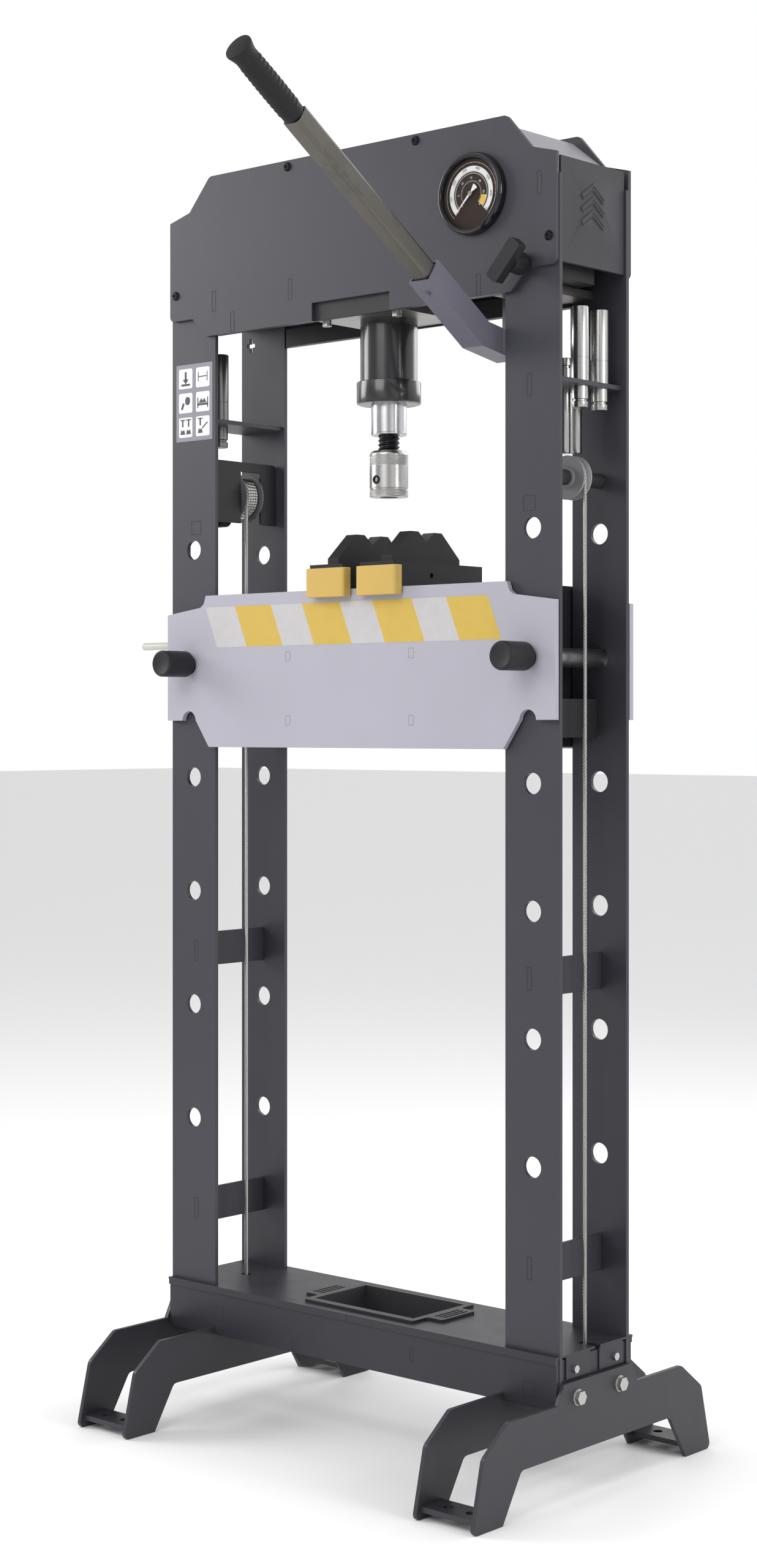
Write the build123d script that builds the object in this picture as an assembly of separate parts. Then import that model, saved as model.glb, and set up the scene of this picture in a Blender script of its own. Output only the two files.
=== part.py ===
from build123d import *
from math import atan2, cos, pi, radians, sin
import os

# Hydraulic shop press, millimetres. +X is to the right, -Y is the front, +Z is up.
# The origin is on the floor at the centre of the anchor-hole pattern.

os.makedirs("parts", exist_ok=True)

# ---------------------------------------------------------------- driving sizes
CLEAR_WIDTH = 530.0        # between the columns
COLUMN_WIDTH = 88.0
COLUMN_THICK = 6.0
COLUMN_GAP = 140.0         # front to rear, between the column plates
SIDE_THICK = 6.0           # head and base side plates
HOLE_PITCH = 165.0
FIRST_HOLE_Z = 423.0
HOLE_COUNT = 6
PIN_ROW = 4                # the hole row that carries the table, counted from 0
PIN_D = 25.0
PIN_PLAY = 3.0             # on the diameter, pin to hole
HOLE_D = PIN_D + PIN_PLAY
SEAT_GAP = 0.3             # a loose pin off the hole it lies in
RUN_GAP = 0.05             # radial, running fits
LOOSE_GAP = 0.3            # radial, loose round fits
SLIDE_GAP = 0.3            # between sliding faces

BASE_BOTTOM = 116.0
BASE_TOP = 183.0
BASE_SHEET = 3.0
BASE_LIP = 2.5
FLAP_LOW = 154.0
HEAD_TOP = 1785.0
HEAD_BOTTOM = 1555.0
HEAD_WING_BOTTOM = 1583.0
HEAD_CORNER_TOP = 1727.0
HEAD_SHOULDER_Z = 1738.0
COLUMN_TOP = 1700.0
WINDOW_HALF = 71.0
WINDOW_TOP = 1580.0
COVER_THICK = 2.0

TABLE_THICK = 8.0
TABLE_GAP = 2.0            # table plate to column
TABLE_TOP = 1180.0
TABLE_WING_TOP = 1154.0
TABLE_WING_LOW = 1000.0
TABLE_LOW = 962.0
TABLE_CROSS_X = 113.0
GUIDE_GAP = 3.0            # table end plate to the column's edge
GUIDE_THICK = 8.0

PIN_GRIP_D = 38.0
PIN_GRIP_LONG = 51.0
PIN_FRONT = 6.0            # pin past the front table plate
PIN_TAIL = 10.0            # pin past the rear table plate

BARREL_D = 80.0
BARREL_TOP = 1700.0
COLLAR_D = 90.0
COLLAR_Z = (1440.0, 1471.0)
RAM_D = 50.0
RAM_Z = (1397.0, 1605.0)
SCREW_D = 30.0
SCREW_Z = (1353.0, 1452.0)
ADAPTOR_D = 54.0
ADAPTOR_Z = (1311.0, 1375.0)
SOCKET_D = 25.4
SOCKET_DEEP = 36.0
FLANGE_Z = (1557.0, 1569.0)
CARRIAGE_HALF = 78.0
CARRIAGE_BOLT_X = 64.0
CARRIAGE_BOLT_Y = 58.0
RAIL_Z = (1555.0, 1582.0)
THRUST_Z = (1594.0, 1614.0)
THRUST_DEEP = 20.0

LEVER_IN = 25.0            # lever's plane to the column's inner edge
LEVER_X = CLEAR_WIDTH / 2 - LEVER_IN
PIVOT_Y = -8.0
PIVOT_Z = 1484.0
PIVOT_D = 10.0
LEG_RISE = 9.3             # degrees above level
LEG_LONG = 99.3            # pivot to the bend
ARM_RISE = 32.8
SOCKET_TUBE = 34.0
SOCKET_WALL = 3.0
SOCKET_LONG = 126.0        # bend to mouth
EYE_WIDE = 20.0
EAR_THICK = 6.0
TAIL_LONG = 34.0
ROD_W = 27.0
ROD_R = 6.0
ROD_END_D = 20.0
GRIP_START = 412.0         # along the arm, from the bend
LEVER_GRIP_LONG = 117.0
LEVER_GRIP_D = 32.0
PLUNGER_Y = 18.0
PLUNGER_D = 16.0
PLUNGER_Z = (1493.5, 1530.0)
PUMP_Z = (1516.0, 1560.0)
TANK_Z = (1572.0, 1700.0)

KNOB_OUT = 34.0            # knob's axis past the column's inner edge
KNOB_X = CLEAR_WIDTH / 2 + KNOB_OUT
KNOB_Z = 1588.0
KNOB_TILT = 48.0
STEM_D = 8.0

GAUGE_IN = 48.0            # gauge's axis to the column's inner edge
GAUGE_X = CLEAR_WIDTH / 2 - GAUGE_IN
GAUGE_Z = 1690.0
BEZEL_R = 54.5
DIAL_R = 46.0
CASE_R = 46.5

CABLE_D = 5.0
CABLE_Y = 6.0
PULLEY_R = 23.5            # to the cable's centre
PULLEY_WIDE = 18.0
WHEEL_RIM_R = 29.0
BASE_RIM_R = 26.0
WHEEL_Z = 1318.0
BASE_PULLEY_Z = 143.0
LEFT_RUN_OUT = 17.0        # left cable run past the column's inner edge
LEFT_RUN_X = -CLEAR_WIDTH / 2 - LEFT_RUN_OUT
DRUM_Z = 1330.0
DRUM_R = 28.0              # to the cable's centre
DRUM_FLANGE_R = 36.5
DRUM_FRONT = -2.0
DRUM_WALL = 2.0            # drum flange thickness
DRUM_SIDE = 2.3            # last cable turn to the rear flange
WINDING_GAP = 0.2          # between the cable's turns
FIRST_TURN_GAP = 0.6       # cable's run to the first whole turn
WINDING_TURNS = 4
WORM_MODULE = 1.4
WORM_WHEEL_TEETH = 30
WORM_PITCH_R = 12.0
WORM_Y = -21.0
CRANK_ARM = 185.0
CRANK_OUT = 32.0           # crank arm past the column's outer edge
CRANK_X = -CLEAR_WIDTH / 2 - COLUMN_WIDTH - CRANK_OUT
CRANK_HANDLE = 86.0

FOOT_THICK = 6.0
FOOT_GAP = 86.0            # between the two plates of a foot
FOOT_LEG = (201.0, 260.0)
FOOT_TOP = 151.0
ANCHOR_Z = 10.0
ANCHOR_THICK = 7.0
ANCHOR_Y = (206.0, 250.0)
ANCHOR_D = 13.0
ANCHOR_OUT = (29.0, 65.0)  # foot's plate past the column's inner edge
ANCHOR_X = (CLEAR_WIDTH / 2 + ANCHOR_OUT[0], CLEAR_WIDTH / 2 + ANCHOR_OUT[1])
FOOT_BOLT = (46.0, 130.0)
FLAP_BOLT = (44.0, 165.0)

TRAY_X = 100.0
TRAY_Y = 67.0
TRAY_RIM = 4.0
TRAY_FLOOR = 140.0
TRAY_WALL = 2.5
TRAY_HANDLE = 26.0
RIB_X = (-106.0, -25.0)
RIB_Z = (93.0, 132.0)

BAR_X = ((-58.0, 2.0), (34.0, 94.0))
BAR_PAST = (14.0, 4.0)     # bar past the front and the rear table plate
BAR_TALL = 34.0
V_X = ((-50.0, -30.0), (48.0, 68.0))
V_HALF = 72.0
V_TALL = 45.0
CAP_FRONT = 4.0
CAP_LONG = 16.0
CAP_SIDE = 5.0

SHELF_Z = 1436.0
SHELF_THICK = 6.0
LEFT_SHELF_Z = 1431.0
BIG_ARBOR_OUT = 65.0       # arbor axes past the column's inner edge
THIN_ARBOR_OUT = 25.0
LEFT_ARBOR_OUT = 45.0
BIG_ARBOR_X = CLEAR_WIDTH / 2 + BIG_ARBOR_OUT
THIN_ARBOR_X = CLEAR_WIDTH / 2 + THIN_ARBOR_OUT
BIG_ARBORS = ((BIG_ARBOR_X, -2.0), (BIG_ARBOR_X, 42.0))
THIN_ARBORS = ((THIN_ARBOR_X, 18.5, 90.0), (THIN_ARBOR_X, 44.0, 88.0))
LEFT_ARBOR = (-CLEAR_WIDTH / 2 - LEFT_ARBOR_OUT, -20.0)

# ---------------------------------------------------------------- worked-out places
inner_x = CLEAR_WIDTH / 2
outer_x = inner_x + COLUMN_WIDTH
hole_x = inner_x + COLUMN_WIDTH / 2
col_in = COLUMN_GAP / 2
col_out = col_in + COLUMN_THICK
side_out = col_out + SIDE_THICK
table_in = col_out + TABLE_GAP
table_out = table_in + TABLE_THICK
side_half = outer_x - 1
pin_row_z = FIRST_HOLE_Z + PIN_ROW * HOLE_PITCH
play = (HOLE_D - PIN_D) / 2
pin_z = pin_row_z - play + SEAT_GAP
table_hole_z = pin_z - play + SEAT_GAP
cover_z = BASE_TOP + BASE_SHEET
bar_top = TABLE_TOP + BAR_TALL
BAR_Y = (-table_out - BAR_PAST[0], table_out + BAR_PAST[1])
wheel_x = hole_x
run_right_x = wheel_x + PULLEY_R
run_inner_x = wheel_x - PULLEY_R
left_pulley_x = LEFT_RUN_X + PULLEY_R
drum_x = LEFT_RUN_X - DRUM_R
wheel_pitch_r = WORM_MODULE * WORM_WHEEL_TEETH / 2
worm_z = DRUM_Z - wheel_pitch_r - WORM_PITCH_R
cable_low_z = BASE_PULLEY_Z - PULLEY_R
turn_pitch = CABLE_D + WINDING_GAP
first_turn_y = CABLE_Y + CABLE_D + FIRST_TURN_GAP
drum_rear = first_turn_y + turn_pitch * (WINDING_TURNS - 1) + CABLE_D / 2 + DRUM_SIDE + DRUM_WALL
pulley_y = (CABLE_Y - PULLEY_WIDE / 2, CABLE_Y + PULLEY_WIDE / 2)
crank_y = WORM_Y
handle_z = worm_z - CRANK_ARM


def save(name, *shapes):
    """Write one node: a single solid, or several as a group."""
    flat = []
    for shape in shapes:
        flat += list(shape.solids())
    whole = flat[0] if len(flat) == 1 else Compound(children=flat)
    export_step(whole, f"parts/{name}.step")


def box(x0, x1, y0, y1, z0, z1):
    place = Pos((x0 + x1) / 2, (y0 + y1) / 2, (z0 + z1) / 2)
    return place * Box(x1 - x0, y1 - y0, z1 - z0)


def rod_z(x, y, z0, z1, d):
    return Pos(x, y, (z0 + z1) / 2) * Cylinder(d / 2, z1 - z0)


def rod_y(x, z, y0, y1, d):
    return Pos(x, (y0 + y1) / 2, z) * Rot(90, 0, 0) * Cylinder(d / 2, y1 - y0)


def rod_x(y, z, x0, x1, d):
    return Pos((x0 + x1) / 2, y, z) * Rot(0, 90, 0) * Cylinder(d / 2, x1 - x0)


def turned(place, points):
    """Solid of revolution about +Z from (radius, height) points, then placed."""
    return place * revolve(make_face(Plane.XZ * Polyline(*points, close=True)), Axis.Z)


def profile(points, plane, depth, radii=None):
    face = make_face(Polyline(*points, close=True))
    for index, radius in (radii or {}).items():
        corner = Vector(points[index][0], points[index][1], 0)
        near = [v for v in face.vertices() if (Vector(v.X, v.Y, v.Z) - corner).length < 0.01]
        face = fillet(near, radius)
    return extrude(plane * face, amount=depth)


def plate_xz(points, y0, y1, radii=None):
    """Flat plate from (x, z) points, from y0 to y1."""
    front = Plane(origin=(0, y1, 0), x_dir=(1, 0, 0), z_dir=(0, -1, 0))
    return profile(points, front, y1 - y0, radii)


def plate_yz(points, x0, x1, radii=None):
    """Flat plate from (y, z) points, from x0 to x1."""
    return profile(points, Plane(origin=(x0, 0, 0), x_dir=(0, 1, 0), z_dir=(1, 0, 0)), x1 - x0, radii)


def both_sides(points):
    """Close a symmetric outline from its right half, listed from bottom to top."""
    return points + [(-x, z) for x, z in reversed(points)]


def mirror_y(shape):
    return mirror(shape, Plane.XZ)


def band(points, half):
    """Outline of a flat strip with mitred bends along (u, v) points."""
    left = []
    right = []
    last = len(points) - 1
    for i, (u, v) in enumerate(points):
        before = points[max(i - 1, 0)]
        here = points[max(i, 1)]
        step_a = atan2(here[1] - before[1], here[0] - before[0])
        ahead = points[min(i + 1, last)]
        back = points[min(i, last - 1)]
        step_b = atan2(ahead[1] - back[1], ahead[0] - back[0])
        angle = (step_a + step_b) / 2
        reach = half / cos((step_b - step_a) / 2)
        left.append((u - reach * sin(angle), v + reach * cos(angle)))
        right.append((u + reach * sin(angle), v - reach * cos(angle)))
    return left + right[::-1]


# ---------------------------------------------------------------- columns and braces
stem_hole = rod_y(KNOB_X, KNOB_Z, -side_out - 1, -col_in + 1, STEM_D + 2 * RUN_GAP)
keyhole_x = -(outer_x - 19)
keyhole_z = 1564
keyhole = box(keyhole_x - 3, keyhole_x + 3, col_in - 1, col_out + 1, keyhole_z - 10, keyhole_z + 10)
keyhole += box(keyhole_x - 8, keyhole_x + 8, col_in - 1, col_out + 1, keyhole_z - 3, keyhole_z + 3)


def column(side, y0, y1):
    x0, x1 = sorted((side * inner_x, side * outer_x))
    plate = box(x0, x1, y0, y1, BASE_BOTTOM + 2, COLUMN_TOP)
    for row in range(HOLE_COUNT):
        plate -= rod_y(side * hole_x, FIRST_HOLE_Z + row * HOLE_PITCH, y0 - 1, y1 + 1, HOLE_D)
    return plate


save("columns_front", column(1, -col_out, -col_in) - stem_hole, column(-1, -col_out, -col_in))
save("columns_rear", column(1, col_in, col_out), column(-1, col_in, col_out) - keyhole)

braces = []
for side in (-1, 1):
    for z in (268.0, 642.0):
        x = side * (hole_x + 1)
        braces.append(box(x - 3, x + 3, -col_in, col_in, z, z + 49))
save("column_braces", *braces)

# ---------------------------------------------------------------- head
head_outline = both_sides([
    (WINDOW_HALF, WINDOW_TOP), (WINDOW_HALF, HEAD_BOTTOM), (inner_x + 13, HEAD_BOTTOM),
    (inner_x + 41, HEAD_WING_BOTTOM), (side_half, HEAD_WING_BOTTOM), (side_half, HEAD_CORNER_TOP),
    (inner_x + 47, HEAD_SHOULDER_Z), (inner_x + 6, HEAD_TOP),
])
head_radii = {4: 8, 11: 8, 7: 10, 8: 10}
screw_spots = [(0.442 * inner_x, HEAD_TOP - 9), (side_half - 12, HEAD_WING_BOTTOM + 37)]


def head_plate(y0, y1):
    plate = plate_xz(head_outline, y0, y1, head_radii)
    for x, z in screw_spots:
        for side in (-1, 1):
            plate -= rod_y(side * x, z, y0 - 1, y1 + 1, 6)
    return plate


front_plate = head_plate(-side_out, -col_out) - stem_hole
front_plate -= rod_y(GAUGE_X, GAUGE_Z, -side_out - 1, -col_out + 1, 2 * CASE_R)
save("head_front_plate", front_plate)
save("head_rear_plate", head_plate(col_out, side_out))

rail_half = inner_x - 3
rails = []
for side in (-1, 1):
    y0, y1 = sorted((side * col_in, side * col_out))
    rails.append(box(-rail_half, rail_half, y0, y1, *RAIL_Z))
    y0, y1 = sorted((side * (col_out - THRUST_DEEP), side * col_out))
    rails.append(box(-rail_half, rail_half, y0, y1, *THRUST_Z))
save("head_guide_rails", *rails)

roof_flat = inner_x - 3
roof_end = outer_x - 23
roof_z = HEAD_TOP - 9
roof_low = HEAD_CORNER_TOP - 5
t = COVER_THICK
roof = plate_xz([
    (roof_flat, roof_z), (-roof_flat, roof_z), (-roof_end, roof_low), (-roof_end, roof_low - 1.6 * t),
    (-roof_flat, roof_z - t), (roof_flat, roof_z - t), (roof_end, roof_low - 1.6 * t), (roof_end, roof_low),
], -col_out, col_out)
left_end = box(3 - outer_x, 9 - outer_x, -col_in, col_in, HEAD_WING_BOTTOM + 5, COLUMN_TOP)
left_end += box(3 - outer_x, 9 - outer_x, -col_out, col_out, COLUMN_TOP, HEAD_CORNER_TOP - 3)
save("head_covers", roof, left_end)

screws = []
for side in (-1, 1):
    for x, z in screw_spots:
        deep = col_in if x > inner_x else col_out
        head_deep = 3.5
        dome = turned(Pos(side * x, -side_out, z) * Rot(90, 0, 0),
                      [(0, 0), (6.5, 0), (6.5, 1), (4.5, head_deep), (2, head_deep), (2, 1.8), (0, 1.8)])
        screw = dome + rod_y(side * x, z, -side_out, -deep if deep == col_out else -col_out, 6)
        screws += [screw, mirror_y(screw)]
save("head_screws", *screws)

# ---------------------------------------------------------------- pressure gauge
facing = Pos(GAUGE_X, 0, GAUGE_Z) * Rot(90, 0, 0)
dial_y = side_out + 4
case = turned(facing, [
    (1.6, side_out - 18), (CASE_R, side_out - 18), (CASE_R, side_out), (BEZEL_R, side_out),
    (BEZEL_R, side_out + 10), (BEZEL_R - 3, side_out + 13), (DIAL_R + 1, side_out + 13),
    (DIAL_R, side_out + 12), (DIAL_R, dial_y), (1.6, dial_y),
])
save("gauge_case", case)
save("gauge_dial", turned(facing, [
    (1.6, dial_y), (DIAL_R, dial_y), (DIAL_R, dial_y + 1), (1.6, dial_y + 1),
]))
glass_y = side_out + 9.5
save("gauge_glass", turned(facing, [
    (0, glass_y), (DIAL_R, glass_y), (DIAL_R, glass_y + 2), (0, glass_y + 2),
]))
hand = plate_xz([(-2.2, -12), (-2.4, 4), (-0.5, 37), (0.5, 37), (2.4, 4), (2.2, -12)], 0, 1)
hand += Pos(0, 0.5, 0) * Rot(90, 0, 0) * Cylinder(6, 1)
hand_y = -(dial_y + 3.2)
hand = Pos(GAUGE_X, hand_y, GAUGE_Z) * Rot(0, -135, 0) * hand
save("gauge_needle", hand + rod_y(GAUGE_X, GAUGE_Z, hand_y, -(side_out - 10), 3))

# ---------------------------------------------------------------- pump, reservoir and lever
ear_in = EYE_WIDE / 2 + 1
pump = box(LEVER_X - 18, LEVER_X + 22, -28, 40, *PUMP_Z)
pump += box(LEVER_X - 18, LEVER_X + 60, -col_in, col_in, PUMP_Z[1], TANK_Z[0])
for side in (-1, 1):
    x0, x1 = sorted((LEVER_X + side * ear_in, LEVER_X + side * (ear_in + EAR_THICK)))
    ear = box(x0, x1, PIVOT_Y - 12, PIVOT_Y + 12, PIVOT_Z, PUMP_Z[0])
    ear += rod_x(PIVOT_Y, PIVOT_Z, x0, x1, 24)
    pump += ear - rod_x(PIVOT_Y, PIVOT_Z, x0 - 1, x1 + 1, PIVOT_D)
pump -= rod_z(LEVER_X, PLUNGER_Y, PUMP_Z[0] - 1, PUMP_Z[1] - 2, PLUNGER_D + 2 * RUN_GAP)
pivot_reach = ear_in + EAR_THICK
save("pump_block", pump, rod_x(PIVOT_Y, PIVOT_Z, LEVER_X - pivot_reach, LEVER_X + pivot_reach, PIVOT_D))
plunger = turned(Pos(LEVER_X, PLUNGER_Y, 0), [
    (0, PLUNGER_Z[0]), (PLUNGER_D / 2 - 2, PLUNGER_Z[0]), (PLUNGER_D / 2, PLUNGER_Z[0] + 2),
    (PLUNGER_D / 2, PLUNGER_Z[1]), (0, PLUNGER_Z[1]),
])
save("pump_plunger", plunger)

tank = box(LEVER_X - 40, outer_x - 23, -45, 36, *TANK_Z)
tank = fillet(tank.edges().filter_by(Axis.Z), 8)
tank += rod_z(LEVER_X + 60, -5, TANK_Z[1], TANK_Z[1] + 9, 22)
save("oil_reservoir", tank)

leg = (-cos(radians(LEG_RISE)), sin(radians(LEG_RISE)))
arm = (-cos(radians(ARM_RISE)), sin(radians(ARM_RISE)))
bend = (PIVOT_Y + LEG_LONG * leg[0], PIVOT_Z + LEG_LONG * leg[1])


def on_leg(d):
    return (PIVOT_Y + d * leg[0], PIVOT_Z + d * leg[1])


def on_arm(d):
    return (bend[0] + d * arm[0], bend[1] + d * arm[1])


tube_path = [on_leg(30), bend, on_arm(SOCKET_LONG)]
long_path = [on_leg(20), bend, on_arm(SOCKET_LONG + 10)]
half = SOCKET_TUBE / 2
socket = plate_yz(band(tube_path, half), LEVER_X - half, LEVER_X + half)
inner = half - SOCKET_WALL
socket -= plate_yz(band(long_path, inner), LEVER_X - inner, LEVER_X + inner)
mouth = on_arm(SOCKET_LONG)
along = Plane(origin=(LEVER_X, mouth[0], mouth[1]), x_dir=(1, 0, 0), z_dir=(0, arm[0], arm[1]))
up = (0, arm[1], -arm[0])
top_cut = Plane(origin=(LEVER_X, mouth[0], mouth[1]), x_dir=(1, 0, 0), z_dir=up)
socket -= top_cut * Pos(0, 0, half) * Cylinder(9, 2 * half)
eye_half = EYE_WIDE / 2
eye = plate_yz(band([on_leg(52), (PIVOT_Y, PIVOT_Z)], inner), LEVER_X - eye_half, LEVER_X + eye_half)
eye += rod_x(PIVOT_Y, PIVOT_Z, LEVER_X - eye_half, LEVER_X + eye_half, 26)
tail_half = 6
eye += box(LEVER_X - tail_half, LEVER_X + tail_half, PIVOT_Y, PIVOT_Y + TAIL_LONG, PIVOT_Z - 8, PIVOT_Z + 5)
eye -= box(LEVER_X - eye_half - 1, LEVER_X + eye_half + 1, PIVOT_Y + 2, PIVOT_Y + 20,
           PIVOT_Z + 7, PIVOT_Z + 20)
eye += plate_yz(band([on_leg(52), on_leg(30)], inner), LEVER_X - inner, LEVER_X + inner)
eye -= rod_x(PIVOT_Y, PIVOT_Z, LEVER_X - eye_half - 1, LEVER_X + eye_half + 1, PIVOT_D + 2 * RUN_GAP)
set_at = on_arm(SOCKET_LONG - 22)
under = Plane(origin=(LEVER_X, set_at[0], set_at[1]), x_dir=(1, 0, 0), z_dir=(0, -up[1], -up[2]))
socket -= under * Pos(0, 0, half) * Cylinder(3, 12)
lever_screw = under * Pos(0, 0, (inner + half + 5) / 2) * Cylinder(3, half + 5 - inner)
save("lever_socket", socket + eye, lever_screw)

rod_plane = Plane(origin=(LEVER_X, on_arm(20)[0], on_arm(20)[1]), x_dir=(1, 0, 0), z_dir=(0, arm[0], arm[1]))
rod = extrude(rod_plane * RectangleRounded(ROD_W, ROD_W, ROD_R), amount=GRIP_START - 20)
rod -= under * Pos(0, 0, half) * Cylinder(3, 2 * (half - inner))
rod += rod_plane * Pos(0, 0, GRIP_START - 20 + 50) * Cylinder(ROD_END_D / 2, 100)
save("lever_rod", rod)
grip_r = LEVER_GRIP_D / 2
grip_points = [(ROD_END_D / 2, 0), (grip_r - 1, 0)]
rib_step = 7.5
for i in range(11):
    d = 12 + i * rib_step
    grip_points += [(grip_r - 1, d), (grip_r, d + 1), (grip_r, d + 3), (grip_r - 1, d + 4)]
grip_points += [(grip_r, LEVER_GRIP_LONG - 14), (grip_r + 3, LEVER_GRIP_LONG - 5)]
grip_points += [(grip_r + 3, LEVER_GRIP_LONG - 2), (grip_r + 1, LEVER_GRIP_LONG), (0, LEVER_GRIP_LONG)]
grip_points += [(0, 100), (ROD_END_D / 2, 100)]
grip_plane = Plane(origin=(LEVER_X, on_arm(GRIP_START)[0], on_arm(GRIP_START)[1]), x_dir=(1, 0, 0),
                   z_dir=(0, arm[0], arm[1]))
save("lever_grip", turned(grip_plane.location, grip_points))

# ---------------------------------------------------------------- release knob
knob = turned(Pos(KNOB_X, 0, KNOB_Z) * Rot(90, 0, 0), [
    (STEM_D / 2, side_out + 2), (13, side_out + 2), (15, side_out + 6), (13, side_out + 30),
    (0, side_out + 30), (0, side_out + 26), (STEM_D / 2, side_out + 26),
])
wing = Pos(KNOB_X, -(side_out + 36), KNOB_Z) * Rot(0, -KNOB_TILT, 0) * Box(60, 15, 20)
wing = fillet(wing.edges().filter_by(Axis.Y), 4)
save("release_knob", knob + wing, rod_y(KNOB_X, KNOB_Z, -(side_out + 26), -col_in + 18, STEM_D))

# ---------------------------------------------------------------- carriage, cylinder and ram
neck_half = col_in - 0.5
wide_half = col_out - 0.5
block_top = THRUST_Z[0] - SLIDE_GAP
block_step = RAIL_Z[1] + SLIDE_GAP
c = CARRIAGE_HALF
block = box(-c, c, -neck_half, neck_half, FLANGE_Z[1], block_step)
block += box(-c, c, -wide_half, wide_half, block_step, block_top)
flange = box(-c, c, -neck_half, neck_half, *FLANGE_Z)
barrel_hole = rod_z(0, 0, FLANGE_Z[0] - 1, block_top + 1, BARREL_D)
block -= barrel_hole
flange -= barrel_hole
bolts = []
for sx in (-1, 1):
    for sy in (-1, 1):
        x = sx * CARRIAGE_BOLT_X
        y = sy * CARRIAGE_BOLT_Y
        shank = rod_z(x, y, FLANGE_Z[0], FLANGE_Z[1] + 12, 8)
        block -= shank
        flange -= shank
        head = rod_z(x, y, FLANGE_Z[0] - 8, FLANGE_Z[0], 13)
        hexagon = extrude(RegularPolygon(3.5, 6), amount=5)
        head -= Pos(x, y, FLANGE_Z[0] - 8) * hexagon
        bolts.append(head + shank)
save("carriage", block)
save("flange_plate", flange)
save("carriage_bolts", *bolts)
ram_bore = RAM_D / 2 + RUN_GAP
barrel_points = [
    (ram_bore, COLLAR_Z[1]), (BARREL_D / 2, COLLAR_Z[1]), (BARREL_D / 2, BARREL_TOP - 2),
    (BARREL_D / 2 - 2, BARREL_TOP), (0, BARREL_TOP), (0, BARREL_TOP - 14), (ram_bore, BARREL_TOP - 14),
]
save("cylinder_barrel", turned(Pos(0, 0, 0), barrel_points))
collar_r = COLLAR_D / 2
save("gland_collar", turned(Pos(0, 0, 0), [
    (ram_bore, COLLAR_Z[0]), (collar_r - 2, COLLAR_Z[0]), (collar_r, COLLAR_Z[0] + 2),
    (collar_r, COLLAR_Z[1] - 1), (collar_r - 1, COLLAR_Z[1]), (ram_bore, COLLAR_Z[1]),
]))
screw_bore = SCREW_D / 2 + RUN_GAP
save("ram", turned(Pos(0, 0, 0), [
    (screw_bore, RAM_Z[0]), (RAM_D / 2 - 1, RAM_Z[0]), (RAM_D / 2, RAM_Z[0] + 1), (RAM_D / 2, RAM_Z[1]),
    (0, RAM_Z[1]), (0, SCREW_Z[1] + 8), (screw_bore, SCREW_Z[1] + 8),
]))
save("extension_screw", turned(Pos(0, 0, 0), [
    (0, SCREW_Z[0]), (SCREW_D / 2 - 1, SCREW_Z[0]), (SCREW_D / 2, SCREW_Z[0] + 1),
    (SCREW_D / 2, SCREW_Z[1] - 1), (SCREW_D / 2 - 1, SCREW_Z[1]), (0, SCREW_Z[1]),
]))
ar = ADAPTOR_D / 2
socket_top = ADAPTOR_Z[0] + SOCKET_DEEP
adaptor = turned(Pos(0, 0, 0), [
    (SOCKET_D / 2, ADAPTOR_Z[0]), (ar - 1, ADAPTOR_Z[0]), (ar, ADAPTOR_Z[0] + 1), (ar, ADAPTOR_Z[0] + 10),
    (ar - 1.2, ADAPTOR_Z[0] + 11), (ar, ADAPTOR_Z[0] + 12), (ar, ADAPTOR_Z[1] - 5), (ar - 4, ADAPTOR_Z[1]),
    (screw_bore, ADAPTOR_Z[1]), (screw_bore, SCREW_Z[0]), (4, SCREW_Z[0]), (4, socket_top),
    (SOCKET_D / 2, socket_top),
])
flat_z = ADAPTOR_Z[0] + 23
adaptor -= box(-ar, ar, -ar - 1, -ar + 2.5, ADAPTOR_Z[0] + 13, ADAPTOR_Z[1] - 21)
adaptor -= rod_y(0, flat_z, -ar - 1, 0, 8)
grub = rod_y(0, flat_z, -ar - 1.5, -SOCKET_D / 2, 8)
save("ram_adaptor", adaptor, grub)

# ---------------------------------------------------------------- side cover
sx = outer_x - 9
cover_half = col_in - SLIDE_GAP
cover = box(sx, sx + 6, -cover_half, cover_half, HEAD_WING_BOTTOM + 5, HEAD_CORNER_TOP - 3)
for i in range(3):
    z = HEAD_WING_BOTTOM + 60 + 17 * i
    chevron = plate_yz(band([(-24, z), (0, z + 16), (24, z)], 4), sx + 6, sx + 7.2)
    cover += chevron - plate_yz(band([(-21, z + 1), (0, z + 15), (21, z + 1)], 2), sx + 6.4, sx + 8)
save("side_cover", cover)

# ---------------------------------------------------------------- table
table_outline = both_sides([
    (inner_x + 4, TABLE_LOW), (inner_x + 30, TABLE_WING_LOW),
    (outer_x, TABLE_WING_LOW), (outer_x, TABLE_WING_TOP),
    (inner_x + 21, TABLE_WING_TOP + 9), (inner_x + 14, TABLE_TOP - 12), (inner_x + 10, TABLE_TOP),
])


def table_plate(y0, y1):
    plate = plate_xz(table_outline, y0, y1)
    for side in (-1, 1):
        plate -= rod_y(side * hole_x, table_hole_z, y0 - 1, y1 + 1, HOLE_D)
        plate -= rod_y(side * hole_x, TABLE_WING_LOW, y0 - 1, y1 + 1, HOLE_D - 1)
    return plate


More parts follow.
